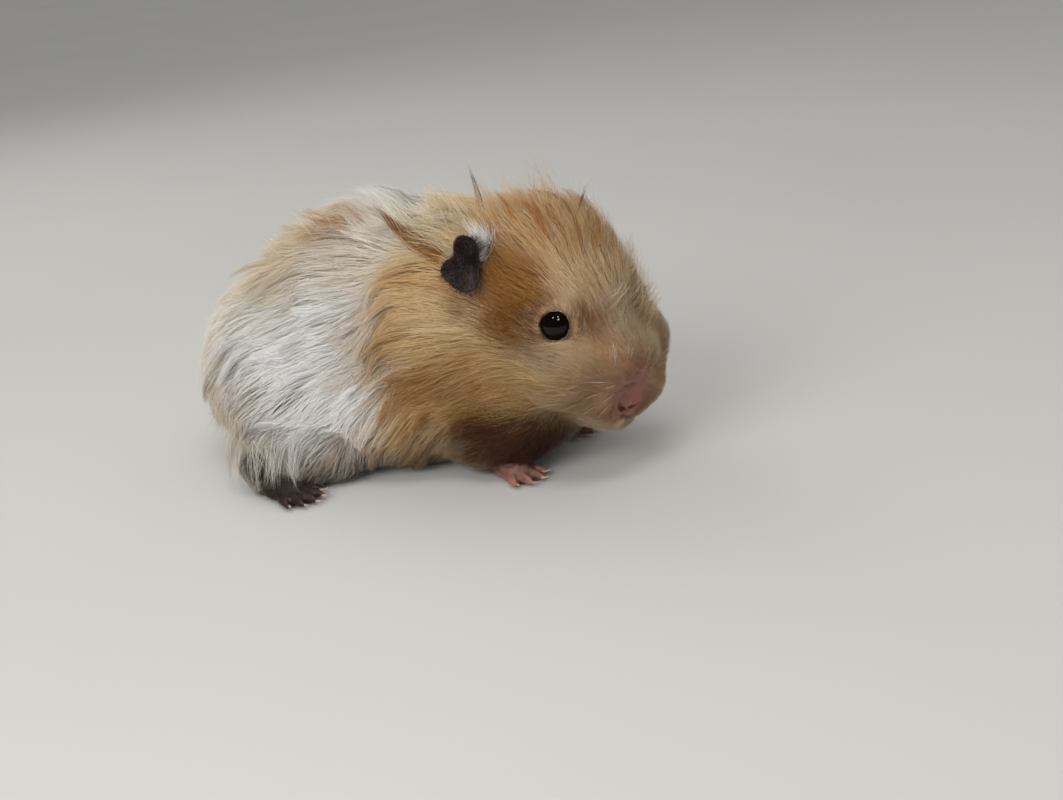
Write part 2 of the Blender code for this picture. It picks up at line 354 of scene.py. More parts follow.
def closest(targets, points):
    """(nearest target, its number, its distance in millimetres) for each point."""
    tree = KDTree(len(targets))
    for number, target in enumerate(targets.tolist()):
        tree.insert(target, number)
    tree.balance()
    places, numbers, distances = entries([tree.find(point) for point in points.tolist()], 0, 1, 2)
    return places, numbers, distances / MM


# ---------------------------------------------------------------- the skin


def flesh_outline():
    """One closed surface round the solids, ears left out, with the cuts between them closed."""
    pieces = []
    for node in sorted(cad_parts):
        if node.startswith("ear"):
            continue
        piece = merged_copy(node)
        apply_modifier(piece, "DISPLACE", strength=SEAM_CLOSING * MM, mid_level=0.0)
        pieces.append(piece)
    outline = joined(pieces, "outline")
    apply_modifier(outline, "REMESH", mode="VOXEL", voxel_size=OUTLINE_VOXEL * MM)
    outline = outer_shell(outline)
    apply_modifier(outline, "SMOOTH", factor=0.5, iterations=3)
    return outline


def to_box(points, node):
    """Distance in millimetres from each point to a solid's box."""
    low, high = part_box(node)
    outside = np.maximum(np.maximum(np.array(low) - points, points - np.array(high)), 0)
    return np.linalg.norm(outside, axis=1) / MM


def coat_depth(points):
    """How deep the coat is, in millimetres, at points of the outline."""
    head = in_frame(points, HEAD)
    from_nose = np.linalg.norm(head, axis=1)
    depth = np.interp(from_nose, *zip(*DEPTH_ON_HEAD))
    depth += 1.2 * ramp(head[:, 2], 14, 24) * ramp(-head[:, 0], 12, 24) * ramp(-head[:, 0], 60, 44)
    for side in SIDES.values():
        depth = mixed(0.8, depth, ramp(distance_to(head, on_side(EYE_PLACE, side)), 3.0, 8.0))
    depth = mixed(2.2, depth, ramp(points[:, 2] / MM, 1.0, 9.0))
    for foot in STANCE:
        reach = 7.0 if foot.startswith("fore") else 4.5
        depth = mixed(1.9, depth, ramp(to_box(points, foot), 0.0, reach))
    return mixed(0.5, depth, ramp(to_box(points, "tail"), 0.0, 4.0))


def sunk_skin(outline):
    """The skin of head, trunk and legs: the outline drawn in by the coat's depth, a little at a time."""
    skin = outline.copy()
    skin.data = outline.data.copy()
    skin.name = "skin"
    bpy.context.scene.collection.objects.link(skin)
    steps = 6
    for _ in range(steps):
        edges = edges_of(skin)
        points = points_of(skin)
        depth = relaxed(coat_depth(points), edges, 8) + SEAM_CLOSING
        for _ in range(2):
            points = points - normals_of(skin) * (depth * MM / steps / 2)[:, None]
            points = relaxed(points, edges, 1, 0.4)
            set_points(skin, points)
        apply_modifier(skin, "REMESH", mode="VOXEL", voxel_size=SKIN_VOXEL * MM)
        skin = outer_shell(skin)
    apply_modifier(skin, "SMOOTH", factor=0.5, iterations=6)
    return skin


def refine(piece, centre, radius):
    """Halves the faces within that many millimetres of a place on the head."""
    near = distance_to(in_frame(points_of(piece), HEAD), centre) < radius
    with editing(piece, "DESELECT"):
        bpy.ops.mesh.select_mode(type="VERT")
    piece.data.vertices.foreach_set("select", near)
    with editing(piece, None):
        bpy.ops.mesh.subdivide(number_cuts=1, smoothness=0.0)


def to_line(flat, path):
    """Distance from each (left, up) to a line of such points."""
    best = np.full(len(flat), 1e9)
    for start, end in zip(path[:-1], path[1:]):
        start = np.array(start, float)
        run = np.array(end, float) - start
        share = np.clip(((flat - start) @ run) / (run @ run), 0, 1)
        best = np.minimum(best, np.linalg.norm(flat - start - share[:, None] * run, axis=1))
    return best


def sculpt_muzzle(skin):
    """Presses the nostrils, the cleft and the mouth into the muzzle, and swells the pad of the nose."""
    points = points_of(skin)
    head = in_frame(points, HEAD)
    shifts = [(swell(distance_to(head, (-1.0, 0.0, -0.5)), 5.5), NOSE_SET)]
    for centre, radius, shift in MUZZLE_FILLS:
        shifts.append((swell(distance_to(head, centre), radius), shift))
    for share, shift in shifts:
        head += share[:, None] * np.array(shift)
    flat = (head[:, 1:] - np.array(PAD_MIDDLE)) / PAD_SIZE

    def groove(width, *path):
        return swell(to_line(flat, path), width)

    front = ramp(head[:, 0], -9.0, -6.5)
    oval = np.hypot(flat[:, 0] / 1.25, flat[:, 1])
    below = ramp(-flat[:, 1], -0.6, 1.0)
    head[:, 0] += 0.40 * ramp(oval, 2.9, 1.0) * front
    head[:, 0] -= 0.26 * ramp(np.abs(oval - 2.35), 0.5, 0.0) * front * below
    head[:, 0] -= 0.62 * groove(0.24, (0.0, -0.5), (0.0, -2.9)) * front
    head[:, 0] -= 0.18 * groove(0.30, (0.0, -0.5), (0.0, 1.7)) * front
    snout = ramp(flat[:, 1], 1.6, 3.0) * ramp(flat[:, 1], 10.5, 7.5) * ramp(np.abs(flat[:, 0]), 6.0, 3.5)
    creases = np.sin(flat[:, 1] * 3.4 + 1.2 * np.sin(flat[:, 0] * 1.3)) + wobble(points, 1.3, 8)
    head[:, 0] += 0.11 * creases * snout * ramp(head[:, 0], -11.0, -8.0)
    for side in SIDES.values():
        nostril = [(side * 0.55, -0.80), (side * 1.15, -0.85), (side * 1.80, -0.35), (side * 2.45, 0.55)]
        pit = groove(0.30, *nostril) * front
        head[:, 0] -= 1.70 * pit
        head[:, 1] -= side * 0.25 * pit
        wing = groove(0.55, (side * 1.2, 0.45), (side * 2.2, 1.1)) * front
        head[:, 0] += 0.32 * wing
        lip = [(0.0, -2.9), (side * 1.6, -3.5), (side * 3.8, -4.0), (side * 5.8, -3.7)]
        mouth = groove(0.30, *lip) * ramp(head[:, 0], -12.0, -9.0)
        head[:, 0] -= 0.60 * mouth
        head[:, 2] += 0.15 * mouth
    set_points(skin, world_of(head, HEAD))


def eye_axis(side):
    """The way an eye looks, and its centre, in the head's own millimetres."""
    way = np.array((0.42, side * 0.80, 0.40))
    return way / np.linalg.norm(way), np.array(on_side(EYE_PLACE, side))


def about_eye(head, side):
    """(distance from an eye's centre, height along its axis, part across the axis, length of that part)"""
    way, centre = eye_axis(side)
    offset = head - centre
    tall = offset @ way
    across = offset - tall[:, None] * way
    return np.linalg.norm(offset, axis=1), tall, across, np.linalg.norm(across, axis=1)


def sculpt_lids(skin):
    """Draws the skin round each eyeball into lids with a thin, raised rim."""
    head = in_frame(points_of(skin), HEAD)
    opening, rim, reach = 2.48, 3.05, 5.6
    under_ball, gap = -1.2, 0.42
    for side in SIDES.values():
        way, _ = eye_axis(side)
        distance, tall, _, radius = about_eye(head, side)
        near = (distance < 8.0) & (tall > -2.5)
        rise = np.sqrt(np.maximum((EYE_RADIUS + gap) ** 2 - radius**2, 0.0))
        lid = np.where(radius < opening, under_ball, np.maximum(rise, 1.05))
        edge = mixed(under_ball, rise, ramp(radius, opening, opening + 0.25))
        lid = np.where(radius < opening + 0.25, edge, lid)
        target = mixed(tall, lid, 1 - ramp(radius, rim, reach))
        head[near] += ((target - tall)[:, None] * way)[near]
    set_points(skin, world_of(head, HEAD))


def marked(piece, kind, material):
    """Writes what kind of skin a piece is on its points, and gives it its material."""
    values = np.full(len(piece.data.vertices), float(kind), np.float32)
    piece.data.attributes.new("kind", "FLOAT", "POINT").data.foreach_set("value", values)
    piece.data.materials.clear()
    piece.data.materials.append(material)
    return piece


# The free edge of an ear, as (turn from the way it points, reach): a tip, a notch and a folded upper lobe.
EAR_EDGE = [
    (-172, 0.9), (-135, 1.1), (-108, 2.2), (-96, 3.9), (-86, 5.2), (-74, 5.8), (-60, 6.2), (-44, 6.3),
    (-27, 6.5), (-14, 6.8), (-3, 5.7), (8, 4.8), (18, 4.6), (28, 5.6), (38, 6.5), (50, 6.8), (60, 5.9),
    (70, 4.8), (82, 3.4), (98, 1.9), (130, 1.0), (160, 0.9), (188, 0.9),
]
EAR_TURNS = np.radians(np.linspace(-172, 188, 96, endpoint=False))
EAR_REACH = np.interp(np.degrees(EAR_TURNS), *zip(*EAR_EDGE))
for _ in range(2):
    EAR_REACH = (np.roll(EAR_REACH, 1) + 2 * EAR_REACH + np.roll(EAR_REACH, -1)) / 4


def ear_sheet(turn, out):
    """Points of an ear's cup in millimetres of its frame, from its middle (out = 0) to its edge (1)."""
    span = np.interp(turn, EAR_TURNS, EAR_REACH, period=math.tau) * out
    dish = out**2.4
    outwards = np.cos(turn)
    fold = np.maximum(0.0, np.sin(turn)) * np.maximum(0.0, outwards + 0.35) * dish
    rise = 1.5 * dish - 0.55 * (1 - out) + 1.9 * fold - 1.1 * dish * np.maximum(0.0, outwards) ** 2
    rise = rise + 0.16 * out**2 * np.sin(7 * turn + 1.0) + 0.07 * out**2 * np.sin(17 * turn)
    return np.stack([span * np.sin(turn) - 0.8 * fold, span * outwards - 1.0 * fold, rise], axis=-1)


def ear_frame(side_name):
    """An ear's frame: x runs from its lower edge to the upper one, y from root to tip and z outwards."""
    side = SIDES[side_name]
    along = toward(on_side(EAR_POINTING[side_name], side)).normalized()
    outward = toward(on_side(EAR_FACING[side_name], side))
    outward = (outward - outward.dot(along) * along).normalized()
    edge = along.cross(outward)
    if edge.z < 0:
        edge = -edge
    axes = Matrix((edge, along, outward)).transposed().to_4x4()
    cup = spot(on_side(EAR_ROOT[side_name], side)) + (along * 3.9 + outward * 0.9 + edge * 0.6) * MM
    return HEAD @ Matrix.Translation(cup) @ axes


EAR_FRAMES = {side_name: ear_frame(side_name) for side_name in SIDES}


def ear_skin(side_name, materials):
    """A pinna: a furred stalk that opens into a shallow cup with a notched, partly folded edge."""
    rings, turns = 18, len(EAR_TURNS)
    grid = bmesh.new()
    middle = grid.verts.new((0.0, 0.0, -0.55))
    rows = []
    for ring in range(1, rings + 1):
        places = ear_sheet(EAR_TURNS, np.full(turns, ring / rings))
        rows.append([grid.verts.new(place) for place in places.tolist()])
    for turn in range(turns):
        beside = (turn + 1) % turns
        grid.faces.new((middle, rows[0][turn], rows[0][beside]))
        for inner, outer in zip(rows[:-1], rows[1:]):
            grid.faces.new((inner[turn], outer[turn], outer[beside], inner[beside]))
    bmesh.ops.recalc_face_normals(grid, faces=grid.faces)
    mesh = bpy.data.meshes.new("ear_skin_" + side_name)
    grid.to_mesh(mesh)
    grid.free()
    cup = new_object("ear_skin_" + side_name, mesh)
    apply_modifier(cup, "SOLIDIFY", thickness=0.36, offset=0.0)
    apply_modifier(cup, "SMOOTH", factor=0.5, iterations=2)
    deselect()
    cone = {"radius1": 2.0, "radius2": 1.1, "depth": 6.0}
    bpy.ops.mesh.primitive_cone_add(vertices=24, location=(0.5, 1.0, -4.1), **cone)
    stalk = bpy.context.object
    with editing(stalk):
        bpy.ops.mesh.subdivide(number_cuts=3)
    stalk.data.transform(stalk.matrix_world)
    stalk.matrix_world = Matrix.Identity(4)
    marked(cup, EAR, materials["dark_ear_skin"])
    marked(stalk, EAR_BASE, materials["skin_under_coat"])
    ear = joined([cup, stalk], "ear_skin_" + side_name)
    ear.data.transform(EAR_FRAMES[side_name] @ Matrix.Diagonal((MM, MM, MM, 1.0)))
    with editing(ear):
        bpy.ops.mesh.normals_make_consistent(inside=False)
    return ear


def foot_skin(name):
    """A foot with its facets rounded off and fine folds across its back."""
    foot = merged_copy(name)
    apply_modifier(foot, "SUBSURF", levels=2, render_levels=2)
    apply_modifier(foot, "REMESH", mode="VOXEL", voxel_size=FOOT_VOXEL * MM)
    apply_modifier(foot, "SMOOTH", factor=0.5, iterations=3)
    points = points_of(foot)
    points[:, 2] = np.maximum(points[:, 2], 0.00005)
    folds = np.sin(in_frame(points, STAND)[:, 0] * 5.2) * ramp(points[:, 2] / MM, 1.4, 2.6)
    points += normals_of(foot) * (0.03 * MM * folds)[:, None]
    set_points(foot, points)
    return foot


def whole_skin(materials):
    """(the outline, the one skin that stands for every node of flesh)"""
    outline = flesh_outline()
    skin = sunk_skin(outline)
    for side in SIDES.values():
        refine(skin, on_side(EYE_PLACE, side), 6.5)
    for place, radius in MUZZLE_REFINED:
        refine(skin, place, radius)
    apply_modifier(skin, "SMOOTH", factor=0.4, iterations=2)
    sculpt_muzzle(skin)
    sculpt_lids(skin)
    parts = [marked(skin, COAT_SKIN, materials["skin_under_coat"])]
    parts += [ear_skin(side, materials) for side in SIDES]
    for name in STANCE:
        hind = name.startswith("hind")
        material = materials["dark_foot_skin" if hind else "pink_foot_skin"]
        parts.append(marked(foot_skin(name), HINDFOOT if hind else FOREFOOT, material))
    return outline, joined(parts, "skin")


def unwrap(piece):
    piece.data.uv_layers.new(name="OFBake")
    with editing(piece):
        bpy.ops.uv.smart_project(angle_limit=math.radians(66), island_margin=0.002)


# ---------------------------------------------------------------- the lie of the coat


def lie_of_coat(points, normals):
    """The way the hair points at each place of the skin: back from the nose, and down the flanks."""
    head = in_frame(points, HEAD)
    on_head = ramp(head[:, 0], -50.0, -34.0)[:, None]
    axes = np.array([direction(way, HEAD) for way in ((1, 0, 0), (0, 1, 0), (0, 0, 1))])
    radial = unit(head * np.array((0.0, 1.0, 1.0))) @ axes
    low = ramp(-head[:, 2], -6.0, 8.0)[:, None]
    fall = np.array((0.0, 0.0, -1.0))
    head_way = -axes[0] + 0.42 * radial + (0.18 + 0.35 * low) * fall
    height = points[:, 2] / MM
    droop = (0.55 + 1.0 * ramp(-height, -30.0, -6.0))[:, None]
    body_way = direction((-1, 0, 0), BODY) + droop * fall
    way = flattened(mixed(body_way, head_way, on_head), normals)
    swing = 0.26 * wobble(points, 18, 3) + 0.14 * wobble(points, 7, 4)
    way = way + np.cross(normals, way) * swing[:, None] * (1 - 0.6 * on_head)
    for side in SIDES.values():
        offset = points - world_of(eye_axis(side)[1][None, :], HEAD)[0]
        distance = np.linalg.norm(offset, axis=1, keepdims=True) / MM
        away = flattened(offset, normals)
        heading = np.minimum(dots(way, away), 0.0)
        way = way - 1.35 * heading * away * swell(distance, 6.0)
        way = way + 0.9 * away * swell(distance, 4.0)
    return flattened(way, normals)


def bare(points):
    """1 where the skin shows bare: the pad of the nose and its cleft, and inside the lids."""
    head = in_frame(points, HEAD)
    left, up = head[:, 1] - PAD_MIDDLE[0], head[:, 2] - PAD_MIDDLE[1]
    oval = np.hypot(left / 1.25, up) / PAD_SIZE
    result = (1 - ramp(oval, 2.2, 2.8)) * ramp(head[:, 0], -8.0, -6.5)
    cleft = (1 - ramp(np.abs(left), 0.3, 0.7)) * ramp(head[:, 0], -8.0, -6.0) * ramp(-up, 0.0, 1.0)
    result = np.maximum(result, cleft)
    snout = ramp(np.hypot(left, up - 3.5), 6.2, 3.2) * ramp(head[:, 0], -12.0, -8.5)
    result = np.maximum(result, 0.88 * snout)
    for side in SIDES.values():
        distance, _, _, radius = about_eye(head, side)
        result = np.maximum(result, (radius < 3.1) & (distance < 6))
    return result


class Hide:
    """The skin as arrays: where hair grows, how deep the coat is there and which way it lies."""

    def __init__(self, skin, outline):
        mesh = skin.data
        self.tree, self.corners = tree_of(skin)
        self.points, self.normals = points_of(skin), normals_of(skin)
        self.kinds = np.round(rows_of(mesh.attributes["kind"].data, "value", 1)[:, 0]).astype(int)
        _, _, distance = nearest(tree_of(outline)[0], self.points)
        thickness = relaxed(distance / MM, edges_of(skin), 8) - SEAM_CLOSING
        face = ramp(in_frame(self.points, HEAD)[:, 0], -24.0, -15.0)
        thickness = np.maximum(thickness, 0.12 + 0.45 * face)
        for kind, height in ((EAR, 0.2), (FOREFOOT, 0.30), (HINDFOOT, 0.45), (EAR_BASE, 1.7)):
            thickness[self.kinds == kind] = height
        thickness += 1.5 * (self.kinds == HINDFOOT) * ramp(self.points[:, 2] / MM, 3.0, 6.0)
        stalk = np.nonzero(self.kinds == EAR_BASE)[0]
        on_cup, _, to_cup = closest(self.points[self.kinds == EAR], self.points[stalk])
        thickness[stalk] *= ramp(to_cup, 1.0, 3.5)
        self.heights = thickness
        self.lie = lie_of_coat(self.points, self.normals)
        self.lie[stalk] = flattened(on_cup - self.points[stalk], self.normals[stalk])
        self.bare = bare(self.points)
        self.bare[stalk[to_cup < 0.9]] = 1
        self.bare[self.kinds == EAR] = 1
        ends = np.isin(self.kinds, (FOREFOOT, HINDFOOT))
        sole = ramp(self.normals[:, 2], -0.1, 0.5) * ramp(self.points[:, 2] / MM, 1.0, 2.2)
        self.bare[ends] = 1 - sole[ends] * 0.9
        loops = rows_of(mesh.loop_triangles, "loops", 3, np.int32)
        self.places = rows_of(mesh.uv_layers["OFBake"].data, "uv", 2)[loops]
        sides = self.points[self.corners]
        self.areas = np.linalg.norm(np.cross(sides[:, 1] - sides[:, 0], sides[:, 2] - sides[:, 0]), axis=1)

    def over(self, values):
        """Each triangle's mean of a value that is known at the points."""
        return values[self.corners].mean(axis=1)

    def normals_at(self, triangles):
        return unit(self.normals[self.corners[triangles]].mean(axis=1))

    def places_at(self, triangles):
        """Their middles on the bake map."""
        return self.places[triangles].mean(axis=1)

    def sample(self, weights, wanted, seed):
        """Random roots, as a table of columns, where the triangles' weights put them."""
        chance = np.random.default_rng(seed)
        weights = self.areas * weights
        picked = chance.choice(len(weights), size=wanted, p=weights / weights.sum())
        first, second = np.sqrt(chance.random(wanted)), chance.random(wanted)
        shares = np.stack([1 - first, first * (1 - second), first * second], axis=1)[:, :, None]
        corners = self.corners[picked]
        return {
            "point": (self.points[corners] * shares).sum(axis=1),
            "normal": unit((self.normals[corners] * shares).sum(axis=1)),
            "place": (self.places[picked] * shares).sum(axis=1),
            "height": (self.heights[corners] * shares[:, :, 0]).sum(axis=1),
            "lie": (self.lie[corners] * shares).sum(axis=1),
            "kind": self.kinds[corners[:, 0]],
            "loose": chance.random(wanted) < LOOSE,
        }


def length_of(height):
    """A strand is longer where the coat is deeper."""
    return 1.3 + 2.0 * height - 0.06 * height**2


def half_width_of(height):
    return 0.032 + 0.0065 * height


def crown_share(points):
    """1 on the crown, where the hair stands up more than it lies."""
    head = in_frame(points, HEAD)
    return ramp(head[:, 2], 14.0, 21.0) * ramp(-head[:, 0], 12.0, 20.0) * ramp(-head[:, 0], 52.0, 42.0)


def grown(hide, roots, rings, seed, longer=1.0, higher=0.0):
    """(centre lines, upward directions) of strands that rise from the skin and then lie along it."""
    chance = np.random.default_rng(seed)
    points, height = roots["point"], roots["height"]
    count = len(points)
    loose = roots["loose"]
    length = length_of(height) * chance.uniform(0.62, 1.12, count) * longer
    for heel in ("hindfoot_left", "hindfoot_right"):
        length *= 1 + 0.9 * (roots["kind"] == COAT_SKIN) * ramp(to_box(points, heel), 9.0, 2.0)
    standing = np.maximum(crown_share(points), 0.6 * ramp(points[:, 2] / MM, 38.0, 48.0))
    lift = chance.uniform(0.76, 1.16, count) + 0.10 * wobble(points, 8, seed + 5) + 0.12 * loose
    lift += higher + standing * (0.18 + 0.12 * wobble(points, 5, seed + 6))
    arch = mixed(1.75, 1.1, np.maximum(standing, 0.7 * loose))
    turn = np.where(loose, 0.42, 0.13) * chance.normal(size=count)
    surface, level = points.copy(), height.copy()
    up = roots["normal"]
    lines = [points - up * (ROOT_DEPTH * MM)]
    ups, sideways = [up], []
    lie = np.where((roots["kind"] == EAR_BASE)[:, None], roots["lie"], lie_of_coat(points, up))
    lie = flattened(lie, up)
    for ring in range(1, rings + 1):
        heading = flattened(lie, up)
        heading = flattened(heading + np.cross(up, heading) * turn[:, None], up)
        surface = surface + heading * (length * MM / rings)[:, None]
        surface, triangle, _ = nearest(hide.tree, surface)
        up = hide.normals_at(triangle)
        lie = hide.lie[hide.corners[triangle]].mean(axis=1)
        level = mixed(level, hide.heights[hide.corners[triangle]].mean(axis=1), 0.6)
        share = ring / rings
        rise = level * lift * (1 - (1 - share) ** arch)
        lines.append(surface + up * (rise * MM)[:, None])
        ups.append(up)
        sideways.append(np.cross(up, heading))
    lines, ups = np.stack(lines, axis=1), np.stack(ups, axis=1)
    phase = chance.uniform(0, math.tau, count)
    bend = 0.03 * length * MM
    for ring in range(1, rings + 1):
        sway = bend * np.sin(phase + 3.2 * ring / rings) * (ring / rings)
        lines[:, ring] += sideways[ring - 1] * sway[:, None]
    return lines, ups


def tufted(lines, roots, strands, pull, seed):
    """Draws neighbouring strands together towards their tips, as locks. Also gives each strand's lock."""
    chance = np.random.default_rng(seed)
    count, stops = lines.shape[:2]
    points = roots["point"]
    leaders = chance.permutation(count)[: max(1, count // strands)]
    _, locks, _ = closest(points[leaders], points)
    own = leaders[locks]
    pull = pull * (1 + 0.4 * wobble(points, 14, seed + 2)) * chance.uniform(0.6, 1.2, count)
    pull = np.clip(pull * (0.35 + 0.65 * ramp(roots["height"], 1.0, 5.0)), 0.0, 0.92)
    pull = np.where(roots["loose"], 0.25 * pull, pull)
    for stop in range(1, stops):
        share = (stop / (stops - 1)) ** 1.4
        lines[:, stop] += (lines[own, stop] - lines[:, stop]) * (pull * share)[:, None]
    return lines, locks


def clear_of_eyes(lines):
    """Moves hair that would cross an eyeball out to the rim of its lids."""
    count, stops = lines.shape[:2]
    head = in_frame(lines.reshape(-1, 3), HEAD)
    clearance = 2.95
    for side in SIDES.values():
        _, tall, across, radius = about_eye(head, side)
        wrong = (radius < clearance) & (tall > 0) & (tall < 9)
        head[wrong] += (across * (clearance / np.maximum(radius, 0.2) - 1)[:, None])[wrong]
    return world_of(head, HEAD).reshape(count, stops, 3)


def through_ears(lines, lowest):
    """Which strands would pass through or in front of an ear's cup, above that height over its sheet."""
    between = np.concatenate([lines[:, 1:], (lines[:, 1:] + lines[:, :-1]) / 2], axis=1)
    wrong = np.zeros(between.shape[:2], bool)
    for ear in EAR_FRAMES.values():
        own = in_frame(between.reshape(-1, 3), ear)
        along, across = -own[:, 0], own[:, 1]
        reach = np.interp(np.arctan2(across, along), EAR_TURNS, EAR_REACH, period=math.tau)
        inside = (np.hypot(along, across) < reach - 0.3) & (own[:, 2] < 2.8)
        wrong |= inside.reshape(wrong.shape) & (own[:, 2].reshape(wrong.shape) > lowest[:, None])
    return wrong.any(axis=1)


def strand_table(lines, ups, widths, places, tones, kinds):
    """What strand_mesh reads. ups may have one direction for each strand, and kinds one value for all."""
    if ups.ndim == 2:
        ups = np.repeat(ups[:, None], lines.shape[1], axis=1)
    kinds = np.full(len(lines), kinds)
    return {"lines": lines, "ups": ups, "widths": widths, "places": places, "tones": tones, "kinds": kinds}


def strand_mesh(name, strands, material):
    """Closed three-sided strands that taper to a point, as one mesh with a bake map and attributes."""
    lines, ups, widths = strands["lines"].copy(), strands["ups"], strands["widths"]
    count, stops = lines.shape[:2]
    rings = stops - 1
    lines[:, :, 2] = np.maximum(lines[:, :, 2], OFF_FLOOR)
    side = unit(np.cross(np.gradient(lines, axis=1), ups))
    lifted = unit(np.cross(side, np.gradient(lines, axis=1)))
    taper = np.linspace(1.0, LAST_RING, rings)
    spokes = []
    for angle in (90, 210, 330):
        turn = math.radians(angle)
        thick = FLATNESS * math.sin(turn)
        spokes.append(math.cos(turn) * side[:, :rings] + thick * lifted[:, :rings])
    reach = (widths[:, None] * taper[None, :] * MM)[:, :, None]
    ring_points = np.stack([lines[:, :rings] + spoke * reach for spoke in spokes], axis=2)
    facing = np.stack([unit(ups[:, :rings] + ROUNDING * spoke) for spoke in spokes], axis=2)
    per_strand = rings * 3 + 1
    points = np.concatenate([ring_points.reshape(count, rings * 3, 3), lines[:, -1:]], axis=1)
    facing = np.concatenate([facing.reshape(count, rings * 3, 3), ups[:, -1:]], axis=1)
    faces = [(2, 1, 0)]
    for ring in range(rings - 1):
        for corner in range(3):
            here, beside = ring * 3 + corner, ring * 3 + (corner + 1) % 3
            faces += [(here, beside, beside + 3), (here, beside + 3, here + 3)]
    last = (rings - 1) * 3
    faces += [(last + corner, last + (corner + 1) % 3, rings * 3) for corner in range(3)]
    faces = np.array(faces)[:, ::-1]
    faces = (faces[None] + (np.arange(count) * per_strand)[:, None, None]).reshape(-1, 3)
    mesh = bpy.data.meshes.new(name)
    mesh.vertices.add(count * per_strand)
    mesh.vertices.foreach_set("co", points.astype(np.float32).ravel())
    mesh.loops.add(faces.size)
    mesh.loops.foreach_set("vertex_index", faces.astype(np.int32).ravel())
    mesh.polygons.add(len(faces))
    mesh.polygons.foreach_set("loop_start", np.arange(0, faces.size, 3, dtype=np.int32))
    mesh.update(calc_edges=True)
    mesh.polygons.foreach_set("use_smooth", np.ones(len(faces), bool))
    level = np.concatenate([np.repeat(np.arange(rings) / rings, 3), [1.0]])
    across = np.concatenate([np.tile([0.5, 0.0, 1.0], rings), [0.5]])
    values = {
        "coat_place": ("FLOAT_VECTOR", "vector", np.repeat(lines[:, 1], per_strand, axis=0)),
        "coat_tone": ("FLOAT", "value", np.repeat(strands["tones"], per_strand)),
        "coat_along": ("FLOAT", "value", np.tile(level, count)),
        "coat_kind": ("FLOAT", "value", np.repeat(strands["kinds"], per_strand)),
    }
    for key, (kind, field, data) in values.items():
        mesh.attributes.new(key, kind, "POINT").data.foreach_set(field, data.astype(np.float32).ravel())
    patch = np.stack([across - 0.5, level - 0.5], axis=1) * PATCH
    vertex_places = (strands["places"][:, None, :] + patch[None]).reshape(-1, 2)
    layer = mesh.uv_layers.new(name="OFBake")
    layer.data.foreach_set("uv", vertex_places[faces.ravel()].astype(np.float32).ravel())
    mesh.normals_split_custom_set_from_vertices(facing.reshape(-1, 3).tolist())
    mesh.materials.append(material)
    return new_object(name, mesh)


def chosen(strands, rows):
    return {key: values[rows] for key, values in strands.items()}


def make_coat(hide, material):
    """The whole coat, in pieces from nose to rump."""
    height = hide.over(hide.heights)
    cover = (1 - hide.over(hide.bare)) / (half_width_of(height) * length_of(height)) ** 0.85
    cover *= 1 + 1.5 * hide.over(hide.kinds == EAR_BASE)
    roots = hide.sample(cover, STRANDS, SEED)
    pieces = []
    short = roots["height"] <= LONGEST_SHORT
    for number, (kind, rows, rings) in enumerate((("long", ~short, 3), ("short", short, 2))):
        seed = SEED + 10 * number
        own = chosen(roots, rows)
        lines, ups = grown(hide, own, rings, seed)
        lines, _ = tufted(lines, own, 10, 0.30, seed + 1)
        lines, locks = tufted(lines, own, 90, 0.42, seed + 2)
        lines = clear_of_eyes(lines)
        chance = np.random.default_rng(seed + 7)
        tones = 0.5 * chance.random(len(lines)) + 0.5 * chance.random(locks.max() + 1)[locks]
        widths = half_width_of(own["height"]) * np.where(own["kind"] == COAT_SKIN, 1.0, 0.7)
        widths = widths * np.where(own["loose"], 0.72, 1.0)
        strands = strand_table(lines, ups, widths, own["place"], tones, own["kind"])
        free = ~through_ears(lines, np.where(own["kind"] == EAR_BASE, -0.25, -0.5))
        strands = chosen(strands, free)
        order = np.argsort(own["point"][free, 1])
        slices = np.array_split(order, math.ceil(len(order) / MOST_IN_A_PIECE))
        for part, slice_rows in enumerate(slices):
            pieces.append(strand_mesh(f"coat_{kind}_{part + 1:02d}", chosen(strands, slice_rows), material))
    return pieces


def make_pointed_locks(hide, material):
    """Soft pointed locks that lie over the coat of the body, each the colour of its roots."""
    seed = POINTED_SEED
    deep = hide.over(np.where(hide.kinds == COAT_SKIN, ramp(hide.heights, 3.2, 5.0), 0.0))
    leaders = hide.sample(deep, POINTED_LOCKS, seed)["point"]
    roots = hide.sample(deep, LOCK_ROOTS, seed + 1)
    _, locks, distance = closest(leaders, roots["point"])
    radius = np.random.default_rng(seed + 2).uniform(0.7, 1.5, POINTED_LOCKS)[locks]
    rows = np.nonzero(distance < radius)[0]
    own, locks, distance = chosen(roots, rows), locks[rows], distance[rows]
    own["loose"] = np.zeros(len(rows), bool)
    lines, ups = grown(hide, own, 3, seed + 3, 1.3, 0.10)
    first = np.full(POINTED_LOCKS, -1)
    order = np.argsort(-distance)
    first[locks[order]] = order
    middle = first[locks]
    chance = np.random.default_rng(seed + 4)
    for stop, share in ((1, 0.30), (2, 0.66), (3, 0.88)):
        pull = share * chance.uniform(0.8, 1.05, len(rows))
        lines[:, stop] += (lines[middle, stop] - lines[:, stop]) * np.minimum(pull, 0.95)[:, None]
    tones = 0.35 * chance.random(len(rows)) + 0.65 * chance.random(POINTED_LOCKS)[locks]
    widths = half_width_of(own["height"]) * 0.85
    strands = strand_table(lines, ups, widths, own["place"], tones, own["kind"])
    return strand_mesh("pointed_locks", strands, material)


# ---------------------------------------------------------------- locks that stand out, and whiskers


